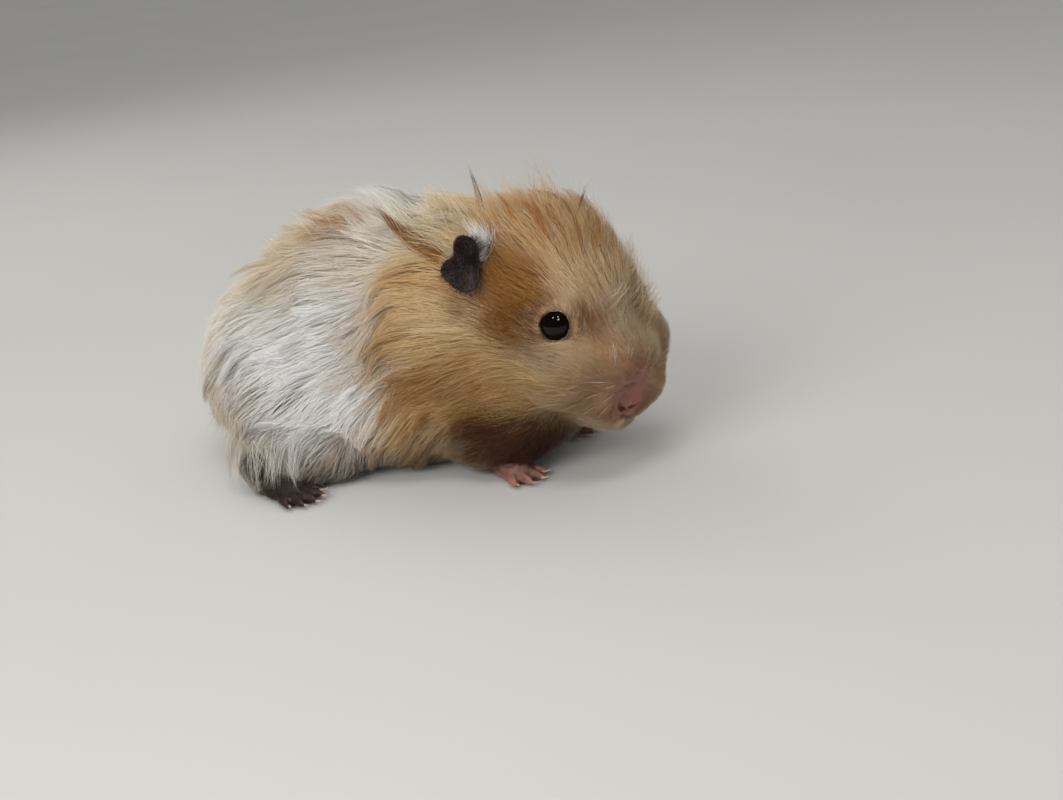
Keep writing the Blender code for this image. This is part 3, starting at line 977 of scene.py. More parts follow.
def curved_lock(hide, own, root, tip, count, spreads, lift, half_width, seed):
    """Strands that leave the skin near root and come together at tip, both in the frame's millimetres."""
    chance = np.random.default_rng(seed)
    start, end = world_of(np.array([root, tip], float), own)
    root_spread, tip_spread = spreads
    near = start + chance.normal(size=(count, 3)) * root_spread * MM
    skin_points, triangles, _ = nearest(hide.tree, near)
    normals = hide.normals_at(triangles)
    if own is RIGHT_EAR:
        normals = np.repeat(np.array(own.to_3x3().col[2])[None, :], count, axis=0)
    knee = near + normals * (lift * MM)
    jitter = chance.normal(size=(count, 3)) * tip_spread * MM
    ends = end + jitter + (start - end) * chance.uniform(-0.05, 0.30, (count, 1))
    stops = np.linspace(0, 1, LOCK_STOPS)[None, :, None]
    lines = (1 - stops) ** 2 * (skin_points - normals * 0.3 * MM)[:, None] + stops**2 * ends[:, None]
    lines = lines + 2 * stops * (1 - stops) * knee[:, None]
    widths = half_width * chance.uniform(0.8, 1.2, count)
    return strand_table(lines, normals, widths, hide.places_at(triangles), chance.random(count), COAT_SKIN)


def gathered(tables):
    return {key: np.concatenate([table[key] for table in tables]) for key in tables[0]}


# Each lock: frame, root, tip, number of strands, their spread at the root and at the tip, lift and half
# width. Places are in millimetres of the frame, and so are the sizes.
CROWN_STREAKS = [
    (HEAD, (-25.2, -8.1, 25.2), (-34.0, -4.8, 27.2), 26, (0.45, 0.3), 1.4, 0.052),
    (HEAD, (-27.8, -7.6, 25.8), (-34.8, -6.9, 27.0), 18, (0.45, 0.3), 1.3, 0.050),
    (HEAD, (-20.4, -3.5, 24.0), (-24.8, -2.8, 26.8), 20, (0.4, 0.2), 1.2, 0.050),
    (HEAD, (-20.9, 3.0, 24.0), (-24.4, 2.9, 26.2), 18, (0.4, 0.25), 1.1, 0.048),
    (HEAD, (-18.6, -0.2, 22.8), (-22.6, 0.3, 25.2), 14, (0.4, 0.25), 1.1, 0.047),
    (HEAD, (-33.6, -8.7, 25.0), (-41.2, -5.8, 24.4), 20, (0.6, 0.35), 1.3, 0.050),
    (HEAD, (-26.0, 7.4, 24.6), (-32.6, 6.4, 25.2), 14, (0.6, 0.35), 1.0, 0.046),
    (HEAD, (-32.6, 9.6, 23.6), (-38.2, 9.0, 22.8), 12, (0.6, 0.35), 1.0, 0.046),
]
SHOULDER_LOCKS = [
    (BODY, (12.0, -14.6, 46.2), (-2.8, -4.0, 53.6), 60, (1.1, 0.35), 1.5, 0.055),
    (BODY, (10.4, -11.6, 48.2), (-0.6, -6.6, 52.4), 36, (1.0, 0.40), 1.4, 0.052),
    (BODY, (9.0, 9.0, 48.8), (-4.0, 6.6, 52.4), 30, (1.2, 0.5), 1.3, 0.052),
]
RUFFLED_LOCKS = [
    (BODY, (18.5, -8.0, 49.6), (13.6, -7.2, 57.0), 44, (1.7, 1.0), 1.5, 0.050),
    (BODY, (13.5, -3.6, 50.2), (8.0, -3.2, 56.4), 44, (1.7, 1.0), 1.5, 0.050),
    (BODY, (8.4, -9.4, 49.0), (2.4, -8.8, 55.0), 40, (1.6, 1.0), 1.5, 0.050),
    (BODY, (3.2, -3.2, 50.0), (-3.6, -2.8, 55.4), 44, (1.8, 1.0), 1.5, 0.050),
    (BODY, (20.5, 2.0, 49.6), (15.4, 2.8, 56.4), 40, (1.7, 1.0), 1.5, 0.050),
    (BODY, (9.0, 5.0, 49.6), (2.6, 5.4, 55.0), 40, (1.7, 1.0), 1.5, 0.050),
    (BODY, (-2.2, -8.2, 48.6), (-9.0, -7.6, 54.0), 44, (1.8, 1.0), 1.6, 0.050),
    (BODY, (-9.0, -7.6, 47.6), (-18.4, -8.4, 53.6), 60, (1.9, 0.9), 1.6, 0.052),
    (BODY, (-12.6, 2.0, 47.4), (-20.0, 2.6, 52.2), 40, (1.8, 1.0), 1.5, 0.050),
    (BODY, (-21.0, -6.0, 44.0), (-28.0, -6.6, 48.6), 40, (1.9, 1.0), 1.5, 0.050),
    (HEAD, (-23.0, 3.0, 23.6), (-27.0, 4.0, 26.4), 30, (1.8, 1.5), 1.0, 0.042),
    (HEAD, (-28.4, 5.6, 23.8), (-33.2, 6.8, 26.6), 34, (2.0, 1.7), 1.0, 0.042),
    (HEAD, (-29.6, -1.6, 24.4), (-34.8, -1.8, 27.2), 34, (2.0, 1.7), 1.0, 0.042),
    (HEAD, (-34.4, 2.4, 24.2), (-40.0, 3.0, 27.0), 34, (2.2, 1.8), 1.1, 0.042),
    (HEAD, (-37.0, -4.0, 23.8), (-42.8, -4.4, 26.6), 34, (2.2, 1.8), 1.1, 0.042),
    (HEAD, (-39.0, 6.4, 22.8), (-44.8, 7.4, 26.0), 34, (2.2, 1.8), 1.1, 0.042),
]
RIGHT_EAR = EAR_FRAMES["right"]
EAR_TUFT = [
    (RIGHT_EAR, (2.9, 3.4, -0.2), (-1.6, 6.6, 0.9), 110, (0.8, 1.0), 0.9, 0.044),
    (RIGHT_EAR, (2.6, 3.0, 0.0), (0.2, 7.2, 0.9), 120, (0.9, 1.0), 0.9, 0.044),
    (RIGHT_EAR, (3.2, 2.0, 0.2), (2.6, 6.8, 0.5), 70, (0.8, 1.0), 0.9, 0.042),
]
TAIL_LOCKS = [
    (BODY, (-45.0, 1.6, 12.6), (-54.0, 2.2, 6.4), 60, (1.5, 0.9), 1.6, 0.052),
    (BODY, (-45.0, -1.6, 12.0), (-53.6, -1.6, 6.0), 60, (1.5, 0.9), 1.6, 0.052),
    (BODY, (-45.0, 3.6, 10.0), (-52.0, 4.4, 4.4), 50, (1.4, 0.9), 1.4, 0.052),
    (BODY, (-45.0, -3.6, 9.6), (-51.6, -4.0, 4.0), 50, (1.4, 0.9), 1.4, 0.052),
]
SNOUT_WISPS = [
    (HEAD, (-6.2, -5.6, 6.2), (-8.0, -4.2, 9.6), 14, (0.7, 0.5), 0.9, 0.036),
    (HEAD, (-5.0, -3.2, 6.4), (-6.6, -1.0, 9.8), 14, (0.7, 0.5), 0.9, 0.036),
    (HEAD, (-4.8, 0.6, 6.0), (-6.4, 3.2, 9.0), 12, (0.7, 0.5), 0.9, 0.036),
    (HEAD, (-9.4, -8.6, 8.4), (-13.6, -9.8, 6.8), 12, (1.0, 0.8), 1.0, 0.036),
]
SKIRT_LOCKS = [
    (BODY, (-33.0, -19.5, 12.0), (-30.4, -27.6, 3.0), 80, (1.6, 1.0), 2.6, 0.055),
    (BODY, (-29.4, -21.0, 11.4), (-26.8, -30.0, 3.4), 90, (1.6, 1.0), 2.8, 0.055),
    (BODY, (-25.6, -22.4, 11.0), (-23.2, -30.6, 3.6), 90, (1.6, 1.0), 2.8, 0.055),
    (BODY, (-21.6, -23.2, 10.2), (-19.4, -29.8, 3.8), 80, (1.6, 1.0), 2.4, 0.055),
    (BODY, (-17.4, -23.6, 9.4), (-15.2, -28.2, 3.0), 60, (1.5, 0.9), 1.8, 0.052),
]
DARK_WISPS = [
    (BODY, (11.5, -8.6, 50.8), (0.0, -4.6, 52.2), 10, (1.0, 0.6), 1.0, 0.045),
    (BODY, (12.5, -13.0, 47.6), (1.0, -6.6, 50.8), 8, (0.8, 0.5), 1.1, 0.045),
    (BODY, (19.4, -1.2, 51.6), (16.4, 0.8, 59.4), 12, (0.45, 0.18), 0.9, 0.058),
    (BODY, (5.4, -4.8, 52.0), (1.6, -5.6, 55.4), 2, (0.5, 0.5), 1.0, 0.045),
    (HEAD, (-27.0, 2.4, 25.6), (-28.3, 4.8, 29.6), 7, (0.3, 0.3), 0.6, 0.048),
    (HEAD, (-31.5, -1.0, 25.6), (-32.5, 0.6, 27.8), 3, (0.5, 0.5), 0.6, 0.040),
]
PALE_WISPS = [
    (HEAD, (-11.0, -3.0, 15.2), (-13.0, 2.4, 17.8), 26, (1.1, 0.8), 0.8, 0.042),
    (HEAD, (-11.2, 4.0, 14.2), (-14.4, 9.4, 18.2), 90, (1.3, 0.9), 1.3, 0.044),
    (HEAD, (-10.6, 5.4, 12.8), (-12.6, 9.9, 16.2), 90, (1.3, 0.9), 1.3, 0.044),
    (HEAD, (-9.6, 6.2, 11.0), (-11.2, 10.8, 13.8), 90, (1.3, 0.9), 1.2, 0.044),
    (HEAD, (-13.0, 5.2, 16.4), (-16.6, 8.9, 19.8), 80, (1.3, 0.9), 1.2, 0.044),
    (HEAD, (-15.6, 6.4, 18.4), (-20.0, 9.4, 22.4), 70, (1.3, 0.9), 1.2, 0.044),
    (HEAD, (-25.8, 3.6, 25.2), (-27.3, 5.9, 29.2), 4, (0.4, 0.4), 0.6, 0.042),
]
# Each piece of locks: name, locks, material, seed past the coat's.
LOCK_PIECES = [
    ("crown_streaks", CROWN_STREAKS, "orange_streak_hair", 200),
    ("shoulder_locks", SHOULDER_LOCKS, "orange_streak_hair", 220),
    ("ruffled_locks", RUFFLED_LOCKS, "coat", 280),
    ("skirt_locks", SKIRT_LOCKS, "coat", 320),
    ("tail_locks", TAIL_LOCKS, "coat", 380),
    ("ear_tuft", EAR_TUFT, "white_tuft_hair", 300),
    ("snout_wisps", SNOUT_WISPS, "white_tuft_hair", 340),
    ("dark_wisps", DARK_WISPS, "dark_wisp_hair", 240),
    ("pale_wisps", PALE_WISPS, "pale_wisp_hair", 260),
]


def make_locks(name, locks, hide, material, seed):
    tables = [curved_lock(hide, *lock, seed + number) for number, lock in enumerate(locks)]
    strands = gathered(tables)
    strands["lines"] = clear_of_eyes(strands["lines"])
    return strand_mesh(name, strands, material)


def make_lashes(hide, material):
    """Short hair that grows from the lids and points away from each eye."""
    tables = []
    for number, side in enumerate(SIDES.values()):
        chance = np.random.default_rng(LASH_SEED + number)
        way, centre = eye_axis(side)
        first = np.cross(way, (0.0, 0.0, 1.0))
        first /= np.linalg.norm(first)
        second = np.cross(way, first)
        turn = chance.uniform(0, math.tau, LASHES)
        start = chance.uniform(2.62, 3.5, LASHES)
        reach = chance.uniform(0.9, 1.8, LASHES)
        drift = 0.22 * chance.normal(size=LASHES)
        stops, ups, roots = [], [], None
        for share in np.linspace(0, 1, 4):
            angle = turn + drift * share
            radius = (start + reach * share)[:, None]
            around = np.cos(angle)[:, None] * first + np.sin(angle)[:, None] * second
            place = world_of(centre + 3.0 * way + radius * around, HEAD)
            place, triangles, _ = nearest(hide.tree, place)
            roots = triangles if roots is None else roots
            ups.append(hide.normals_at(triangles))
            stops.append(place + ups[-1] * ((0.05 + 0.42 * share) * MM))
        lines, ups = np.stack(stops, axis=1), np.stack(ups, axis=1)
        widths = chance.uniform(0.030, 0.040, LASHES)
        tones = chance.random(LASHES)
        tables.append(strand_table(lines, ups, widths, hide.places_at(roots), tones, COAT_SKIN))
    return strand_mesh("lashes", gathered(tables), material)


def make_ear_fuzz(hide, material):
    """Short hair over both faces of each ear and out past its edge."""
    tables = []
    for number, ear in enumerate(EAR_FRAMES.values()):
        chance = np.random.default_rng(FUZZ_SEED + number)
        turn = np.radians(chance.uniform(-98, 96, EAR_HAIRS))
        start = chance.uniform(0.05, 0.97, EAR_HAIRS) ** 0.6
        reach = np.interp(turn, EAR_TURNS, EAR_REACH, period=math.tau)
        end = start + chance.uniform(0.9, 1.7, EAR_HAIRS) / reach
        face = np.where(chance.random(EAR_HAIRS) < 0.65, 1.0, -1.0)
        drift = 0.10 * chance.normal(size=EAR_HAIRS)
        stops = []
        for share in np.linspace(0, 1, 4):
            place = ear_sheet(turn + drift * share, mixed(start, end, share))
            place[:, 2] += face * (0.16 + 0.34 * share - 0.18 * (end > 1.0) * share)
            stops.append(place)
        places = np.stack(stops, axis=1)
        flipped = np.stack([-places[:, :, 1], places[:, :, 0], places[:, :, 2]], axis=2)
        lines = world_of(flipped.reshape(-1, 3), ear).reshape(places.shape)
        ups = face[:, None] * np.array(ear.to_3x3().col[2])
        _, triangles, _ = nearest(hide.tree, lines[:, 0])
        widths = chance.uniform(0.034, 0.046, EAR_HAIRS)
        tones = chance.random(EAR_HAIRS)
        tables.append(strand_table(lines, ups, widths, hide.places_at(triangles), tones, EAR))
    return strand_mesh("ear_fuzz", gathered(tables), material)


def make_whiskers(hide, material):
    """A fan of fine curved whiskers from each side of the muzzle."""
    chance = np.random.default_rng(WHISKER_SEED)
    tables = []
    for side in SIDES.values():
        for row in range(3):
            for column in range(4):
                root = (-4.2 - 1.3 * column, side * (5.8 + 0.55 * column), 2.6 - 1.5 * row)
                reach = 7.5 + 2.3 * column + chance.uniform(-0.8, 0.8)
                way = np.array((0.30 - 0.24 * column, side * 0.95, 0.42 - 0.36 * row))
                tip = np.array(root) + way / np.linalg.norm(way) * reach
                number = WHISKER_SEED + 1 + 20 * row + column + (100 if side > 0 else 0)
                tables.append(curved_lock(hide, HEAD, root, tip, 1, (0.1, 0.1), 1.2, 0.038, number))
    return strand_mesh("whiskers", gathered(tables), material)


# ---------------------------------------------------------------- eyes and claws


def make_eye(side_name, material):
    """A glossy, slightly bulging eyeball."""
    deselect()
    bpy.ops.mesh.primitive_uv_sphere_add(segments=64, ring_count=40, radius=EYE_RADIUS * MM)
    ball = bpy.context.object
    ball.name = "eyeball_" + side_name
    way, centre = eye_axis(SIDES[side_name])
    turn = Vector(direction(way, HEAD)).to_track_quat("Z", "Y").to_matrix().to_4x4()
    ball.data.transform(Matrix.Translation(Vector(world_of(centre[None, :], HEAD)[0])) @ turn)
    ball.data.shade_smooth()
    ball.data.materials.append(material)
    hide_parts("eye_" + side_name)
    return ball


def make_claws(material):
    """A short curved claw on the tip of every toe."""
    claws = []
    half_claw = 0.95
    for heel, yaw, size in STANCE.values():
        own = STAND @ Matrix.Translation(spot(heel)) @ turned(yaw)
        length, width, toes = size["length"], size["width"], size["toes"]
        toe_length = 0.36 * length
        palm = length - toe_length
        for index in range(toes):
            share = index / (toes - 1) * 2 - 1
            splay = math.radians(26 * share)
            reach = toe_length * (1 - 0.34 * share**2) * 0.95
            ahead = palm * (0.93 - 0.10 * share**2) + math.cos(splay) * reach
            left = 0.40 * width * share + math.sin(splay) * reach
            deselect()
            cone = {"radius1": 0.34 * MM, "radius2": 0.05 * MM, "depth": 2 * half_claw * MM}
            bpy.ops.mesh.primitive_cone_add(vertices=10, **cone)
            claw = bpy.context.object
            with editing(claw):
                bpy.ops.mesh.subdivide(number_cuts=3)
            for vertex in claw.data.vertices:
                height = vertex.co.z / MM + half_claw
                vertex.co.y += 0.16 * height**2 * MM
            place = spot((ahead + 1.1, left + 0.3 * math.sin(splay), half_claw))
            lay = Matrix.Rotation(splay, 4, "Z") @ Matrix.Rotation(math.radians(90), 4, "X")
            claw.data.transform(own @ Matrix.Translation(place) @ lay)
            claws.append(claw)
    piece = joined(claws, "claws")
    piece.data.shade_smooth()
    piece.data.materials.append(material)
    return piece


# ---------------------------------------------------------------- materials


def srgb(red, green, blue):
    """A display colour, 0 to 255, as the shader's linear colour."""
    values = [channel / 255 for channel in (red, green, blue)]
    return tuple(v / 12.92 if v <= 0.04045 else ((v + 0.055) / 1.055) ** 2.4 for v in values) + (1.0,)


class Nodes:
    """Short names for adding and linking shader nodes in one tree."""

    def __init__(self, tree):
        self.tree = tree

    def fill(self, node, inputs):
        """Links or sets a node's inputs."""
        for name, value in inputs.items():
            if isinstance(value, bpy.types.NodeSocket):
                self.tree.links.new(value, node.inputs[name])
            else:
                node.inputs[name].default_value = value
        return node

    def add(self, kind, inputs=None, **settings):
        node = self.tree.nodes.new(kind)
        for name, value in settings.items():
            setattr(node, name, value)
        return self.fill(node, inputs or {})

    def surface(self, inputs):
        """Links or sets the inputs of the material's own shader."""
        self.fill(self.tree.nodes["Principled BSDF"], inputs)

    def attribute(self, name, output="Fac"):
        return self.add("ShaderNodeAttribute", attribute_name=name).outputs[output]

    def object_place(self):
        return self.add("ShaderNodeTexCoord").outputs["Object"]

    def maths(self, operation, first, second=0.0):
        return self.add("ShaderNodeMath", {0: first, 1: second}, operation=operation).outputs[0]

    def remap(self, value, low, high, to_low=0.0, to_high=1.0):
        inputs = {"Value": value, "From Min": low, "From Max": high, "To Min": to_low, "To Max": to_high}
        return self.add("ShaderNodeMapRange", inputs, interpolation_type="SMOOTHSTEP").outputs["Result"]

    def mix(self, share, first, second, blend="MIX"):
        inputs = {0: share, 6: first, 7: second}
        return self.add("ShaderNodeMix", inputs, data_type="RGBA", blend_type=blend).outputs[2]

    def shaded(self, color, value):
        """A colour times a grey value."""
        grey = self.add("ShaderNodeCombineColor", {0: value, 1: value, 2: value}).outputs[0]
        return self.mix(1.0, color, grey, "MULTIPLY")

    def bump(self, height, strength, distance):
        inputs = {"Height": height, "Strength": strength, "Distance": distance}
        return self.add("ShaderNodeBump", inputs).outputs["Normal"]

    def painted(self, color, mask, strength, over):
        """A colour with another laid over it where the mask says."""
        return self.mix(self.maths("MULTIPLY", mask, strength), color, over)

    def marked(self, place, markings_and_shade):
        """The colour of the coat's markings and painted shade at a place."""
        return self.add("ShaderNodeGroup", {"Place": place}, node_tree=markings_and_shade).outputs["Color"]

    def noise(self, place, scale, detail=2.0, roughness=0.5):
        inputs = {"Vector": place, "Scale": scale, "Detail": detail, "Roughness": roughness}
        return self.add("ShaderNodeTexNoise", inputs).outputs["Fac"]

    def mapped(self, place, location, scale, rotation=(0.0, 0.0, 0.0)):
        inputs = {"Vector": place, "Location": location, "Rotation": rotation, "Scale": scale}
        return self.add("ShaderNodeMapping", inputs, vector_type="TEXTURE").outputs["Vector"]

    def local(self, place, own):
        """The place in that frame: x is left, y is back and z is up, in millimetres."""
        return self.mapped(place, own.translation, (MM,) * 3, own.to_euler())

    def blob(self, local, centre, half, soft):
        """1 inside an ellipsoid about centre (ahead, left, up), fading out over its soft rim."""
        along, across, tall = half
        scaled = self.mapped(local, toward(centre), (across, along, tall))
        length = self.add("ShaderNodeVectorMath", {0: scaled}, operation="LENGTH").outputs["Value"]
        return self.remap(length, 1 + soft, 1 - soft)


def new_group(name, inputs, outputs):
    tree = bpy.data.node_groups.new(name, "ShaderNodeTree")
    for way, sockets in (("INPUT", inputs), ("OUTPUT", outputs)):
        for label, kind in sockets.items():
            tree.interface.new_socket(name=label, in_out=way, socket_type=kind)
    return tree


PALE_CREAM = srgb(224, 214, 195)
DIM_CREAM = srgb(202, 187, 164)
WHITE = srgb(243, 242, 238)
GOLD = srgb(204, 158, 98)
LIGHT_CREAM = srgb(222, 196, 154)
DEEP_GOLD = srgb(188, 140, 80)
ORANGE_BROWN = srgb(124, 68, 22)
# painted shade: the dark brown of the chest and under it, where the head and body shade it
PAINTED_SHADE_BROWN = srgb(48, 23, 10)
CROWN_GOLD = srgb(190, 144, 96)
# cream darkened with painted shade, for the shaded zone under the eye
FACE_CREAM_IN_PAINTED_SHADE = srgb(150, 124, 88)
BRIDGE = srgb(178, 156, 126)
SNOUT = srgb(112, 58, 42)
PINK = srgb(128, 62, 54)
PALE_RING = srgb(190, 158, 120)
LID = srgb(40, 26, 22)
FOREFOOT_HAIR = srgb(112, 78, 64)
# the hind feet's own dark hair, darker still as painted shade under the body
HINDFOOT_HAIR_AND_SHADE = srgb(34, 22, 14)

# Each marking or patch of painted shade: centre (ahead, left, up), half sizes, softness, colour and
# strength. Those of the face have (ahead, out, up) where the last column says that they are on both sides.
BODY_MARKINGS_AND_SHADE = [
    ((14.0, -8.0, 52.0), (12.0, 10.0, 7.0), 0.7, srgb(192, 174, 144), 0.85),  # pale nape
    ((4.0, -4.0, 53.0), (7.0, 9.0, 5.0), 0.7, srgb(232, 224, 208), 0.7),  # pale withers
    ((9.0, -19.0, 31.0), (10.0, 9.0, 12.0), 0.8, DEEP_GOLD, 0.8),  # shoulder
    ((15.0, -19.0, 36.0), (6.0, 6.0, 7.0), 0.8, srgb(214, 178, 128), 0.8),  # behind the ear
    ((20.0, -20.0, 20.0), (12.0, 14.0, 9.0), 0.8, srgb(150, 109, 60), 0.9),  # neck
    ((16.0, -20.0, 11.0), (19.0, 14.0, 7.0), 0.7, srgb(204, 160, 106), 0.85),  # low shoulder
    ((25.0, -14.0, 9.0), (13.0, 12.0, 11.0), 0.4, PAINTED_SHADE_BROWN, 1.0),  # chest, in painted shade
    ((24.0, 0.0, 7.0), (16.0, 16.0, 9.0), 0.6, PAINTED_SHADE_BROWN, 0.9),  # painted shade under the chest
    ((-6.0, 0.0, 3.0), (30.0, 60.0, 7.0), 0.7, srgb(104, 80, 56), 0.85),  # belly, in painted shade low by the floor
    ((-20.0, 0.0, 45.0), (16.0, 22.0, 9.0), 0.8, srgb(190, 166, 130), 0.8),  # top of the rump
    ((-36.0, -14.0, 12.0), (16.0, 16.0, 13.0), 0.8, srgb(178, 158, 132), 0.8),  # painted shade low on the rump
    ((-7.0, -6.2, 51.6), (6.0, 6.6, 6.0), 0.6, srgb(150, 98, 42), 1.0),  # tuft on the loins
    ((-1.0, -14.5, 46.0), (4.6, 4.4, 5.0), 0.9, srgb(198, 158, 108), 0.8),  # side of the loins
]
FACE_MARKINGS_AND_SHADE = [
    ((-34.0, 0.0, 24.0), (11.0, 16.0, 7.0), 0.8, CROWN_GOLD, 0.9, False),  # back of the crown
    ((-22.0, 0.0, 24.0), (9.0, 12.0, 6.0), 0.8, srgb(176, 126, 70), 0.9, False),  # front of the crown
    ((-17.0, 0.0, 18.5), (6.0, 8.0, 4.5), 0.8, srgb(182, 144, 98), 0.9, False),  # brow
    ((-14.0, 15.0, 4.0), (9.0, 6.0, 5.0), 0.8, FACE_CREAM_IN_PAINTED_SHADE, 0.9, True),  # under the eye, cream in painted shade
    ((-9.0, 11.5, 2.0), (5.0, 5.0, 5.0), 0.8, srgb(134, 96, 66), 0.95, True),  # side of the snout
    ((-9.0, 12.5, -2.5), (7.0, 6.0, 5.0), 0.8, srgb(148, 112, 76), 0.9, True),  # upper lip
    ((-20.0, 17.0, -5.0), (10.0, 9.0, 7.0), 0.8, srgb(184, 140, 82), 0.85, True),  # cheek
    ((-27.0, 20.0, -10.0), (11.0, 8.0, 6.0), 0.8, srgb(150, 98, 46), 0.8, True),  # under the jowl
    ((-9.0, 0.0, 13.5), (6.5, 5.5, 5.0), 0.7, BRIDGE, 0.85, False),  # bridge of the nose
    ((-25.0, 15.0, 13.8), (9.8, 7.4, 10.0), 0.40, ORANGE_BROWN, 1.0, True),  # between eye and ear
    ((-20.4, 16.6, 9.0), (5.4, 5.6, 5.6), 0.6, srgb(100, 53, 17), 0.9, True),  # deepest, behind the eye
    ((-11.2, 7.0, 13.2), (4.4, 3.6, 4.0), 0.7, srgb(120, 72, 32), 1.0, True),  # above the inner corner
    ((-5.0, -1.6, 0.6), (8.0, 8.0, 9.0), 0.6, SNOUT, 0.95, False),  # snout
    ((-5.5, -0.5, -8.4), (6.0, 6.5, 2.8), 0.6, srgb(196, 166, 136), 0.9, False),  # lips and chin
    ((-4.0, -0.9, -2.9), (5.2, 5.0, 4.0), 0.35, PINK, 1.0, False),  # pad of the nose
    ((-16.0, 15.0, -16.5), (12.0, 10.0, 7.5), 0.4, PAINTED_SHADE_BROWN, 1.0, True),  # painted shade on the chest, behind the jaw
]


def markings_and_shade_group():
    tree = new_group("hamster_markings_and_shade", {"Place": "NodeSocketVector"}, {"Color": "NodeSocketColor"})
    n = Nodes(tree)
    place = n.add("NodeGroupInput").outputs["Place"]
    drift = n.noise(place, 160.0, 3.0, 0.6)
    fine = n.noise(place, 520.0, 2.0, 0.5)
    body, head = n.local(place, BODY), n.local(place, HEAD)
    parts = n.add("ShaderNodeSeparateXYZ", {0: body}).outputs
    back, up = parts["Y"], parts["Z"]
    # Gold ahead of a slanting border behind the shoulders, cream behind it.
    border = n.maths("ADD", back, n.maths("MULTIPLY", up, 0.10))
    border = n.maths("ADD", border, n.maths("MULTIPLY", n.maths("SUBTRACT", drift, 0.5), 26.0))
    gold = n.remap(border, -1.6, -6.6)
    color = n.mix(n.remap(fine, 0.35, 0.75), PALE_CREAM, DIM_CREAM)
    upper_band = n.blob(body, (-5.0, 0.0, 40.0), (8.0, 60.0, 18.0), 0.5)
    lower_band = n.blob(body, (-16.0, 0.0, 20.0), (19.0, 60.0, 18.0), 0.5)
    color = n.painted(color, n.maths("MAXIMUM", upper_band, lower_band), 0.95, WHITE)
    golden = n.mix(n.remap(drift, 0.42, 0.62), GOLD, LIGHT_CREAM)
    color = n.mix(gold, color, golden)
    for centre, half, soft, colour, strength in BODY_MARKINGS_AND_SHADE:
        color = n.painted(color, n.blob(body, centre, half, soft), strength, colour)
    for centre, half, soft, colour, strength, both in FACE_MARKINGS_AND_SHADE:
        for side in (SIDES.values() if both else (1,)):
            color = n.painted(color, n.blob(head, on_side(centre, side), half, soft), strength, colour)
    for side in SIDES.values():
        eye = (EYE_PLACE[0] + 0.8, side * (EYE_PLACE[1] + 1.6), EYE_PLACE[2] + 0.9)
        color = n.painted(color, n.blob(head, eye, (4.3, 4.3, 4.3), 0.25), 0.5, PALE_RING)
        color = n.mix(n.blob(head, eye, (3.05, 3.05, 3.05), 0.08), color, LID)
    n.add("NodeGroupOutput", {"Color": color})
    return tree


def new_material(name):
    material = bpy.data.materials.new(name)
    material.use_nodes = True
    return material, Nodes(material.node_tree)


def coat_material(markings_and_shade):
    """The coat takes the markings and painted shade by each strand's root, shifted a little so no border is
    sharp.
    """
    material, n = new_material("long_soft_coat")
    root, tone = n.attribute("coat_place", "Vector"), n.attribute("coat_tone")
    ragged = n.add("ShaderNodeCombineXYZ", {1: n.remap(tone, 0.0, 1.0, -0.0032, 0.0032)}).outputs[0]
    place = n.add("ShaderNodeVectorMath", {0: root, 1: ragged}, operation="ADD").outputs["Vector"]
    color = n.marked(place, markings_and_shade)
    color = n.add("ShaderNodeGamma", {0: color, 1: n.remap(tone, 0.0, 1.0, 1.20, 0.84)}).outputs[0]
    kind = n.attribute("coat_kind")
    for number, own in ((FOREFOOT, FOREFOOT_HAIR), (HINDFOOT, HINDFOOT_HAIR_AND_SHADE)):
        same = n.add("ShaderNodeMath", {0: kind, 1: number, 2: 0.25}, operation="COMPARE").outputs[0]
        color = n.mix(same, color, own)
    shade = n.remap(tone, 0.0, 1.0, 0.94, 1.06)
    # painted shade: each strand darker towards its root, where the coat shades itself
    depth = n.remap(n.attribute("coat_along"), 0.0, 0.7, 0.90, 1.0)
    n.surface({
        "Base Color": n.shaded(color, n.maths("MULTIPLY", shade, depth)),
        "Subsurface Weight": 0.30,
        "Subsurface Radius": (1.0, 0.75, 0.5),
        "Subsurface Scale": 0.0003,
        "Roughness": 0.62,
        "Specular IOR Level": 0.22,
        "Sheen Weight": 0.10,
        "Sheen Roughness": 0.5,
    })
    return material


def skin_material(markings_and_shade):
    material, n = new_material("skin_under_coat")
    place = n.object_place()
    wet = n.blob(n.local(place, HEAD), (-3.5, -0.9, 0.0), (6.0, 5.0, 6.5), 0.4)
    n.surface({
        "Base Color": n.mix(0.22, n.marked(place, markings_and_shade), srgb(150, 110, 84)),
        "Roughness": n.remap(wet, 0.0, 1.0, 0.55, 0.30),
        "Normal": n.bump(n.noise(place, 2600.0, 3.0, 0.7), 0.35, 0.0002),
        "Subsurface Weight": 0.15,
        "Subsurface Radius": (0.9, 0.35, 0.2),
        "Subsurface Scale": 0.0012,
    })
    return material


def bare_material(name, colour, deep, roughness, wrinkle):
    """Bare skin of a foot or an ear: two tones, fine wrinkles and pores."""
    material, n = new_material(name)
    place = n.object_place()
    mottle = n.noise(place, 420.0, 4.0, 0.6)
    pores = n.noise(place, 3200.0, 2.0, 0.6)
    cells = n.add("ShaderNodeTexVoronoi", {"Vector": place, "Scale": wrinkle}, feature="DISTANCE_TO_EDGE")
    creases = n.remap(cells.outputs["Distance"], 0.0, 0.12)
    height = n.maths("ADD", n.maths("MULTIPLY", creases, 0.6), n.maths("MULTIPLY", pores, 0.4))
    n.surface({
        "Base Color": n.mix(n.remap(mottle, 0.35, 0.7), colour, deep),
        "Normal": n.bump(height, 0.3, 0.00006),
        "Roughness": n.remap(pores, 0.3, 0.7, roughness - 0.08, roughness + 0.1),
        "Specular IOR Level": 0.25,
        "Subsurface Weight": 0.12,
        "Subsurface Radius": (0.9, 0.3, 0.2),
        "Subsurface Scale": 0.001,
    })
    return material


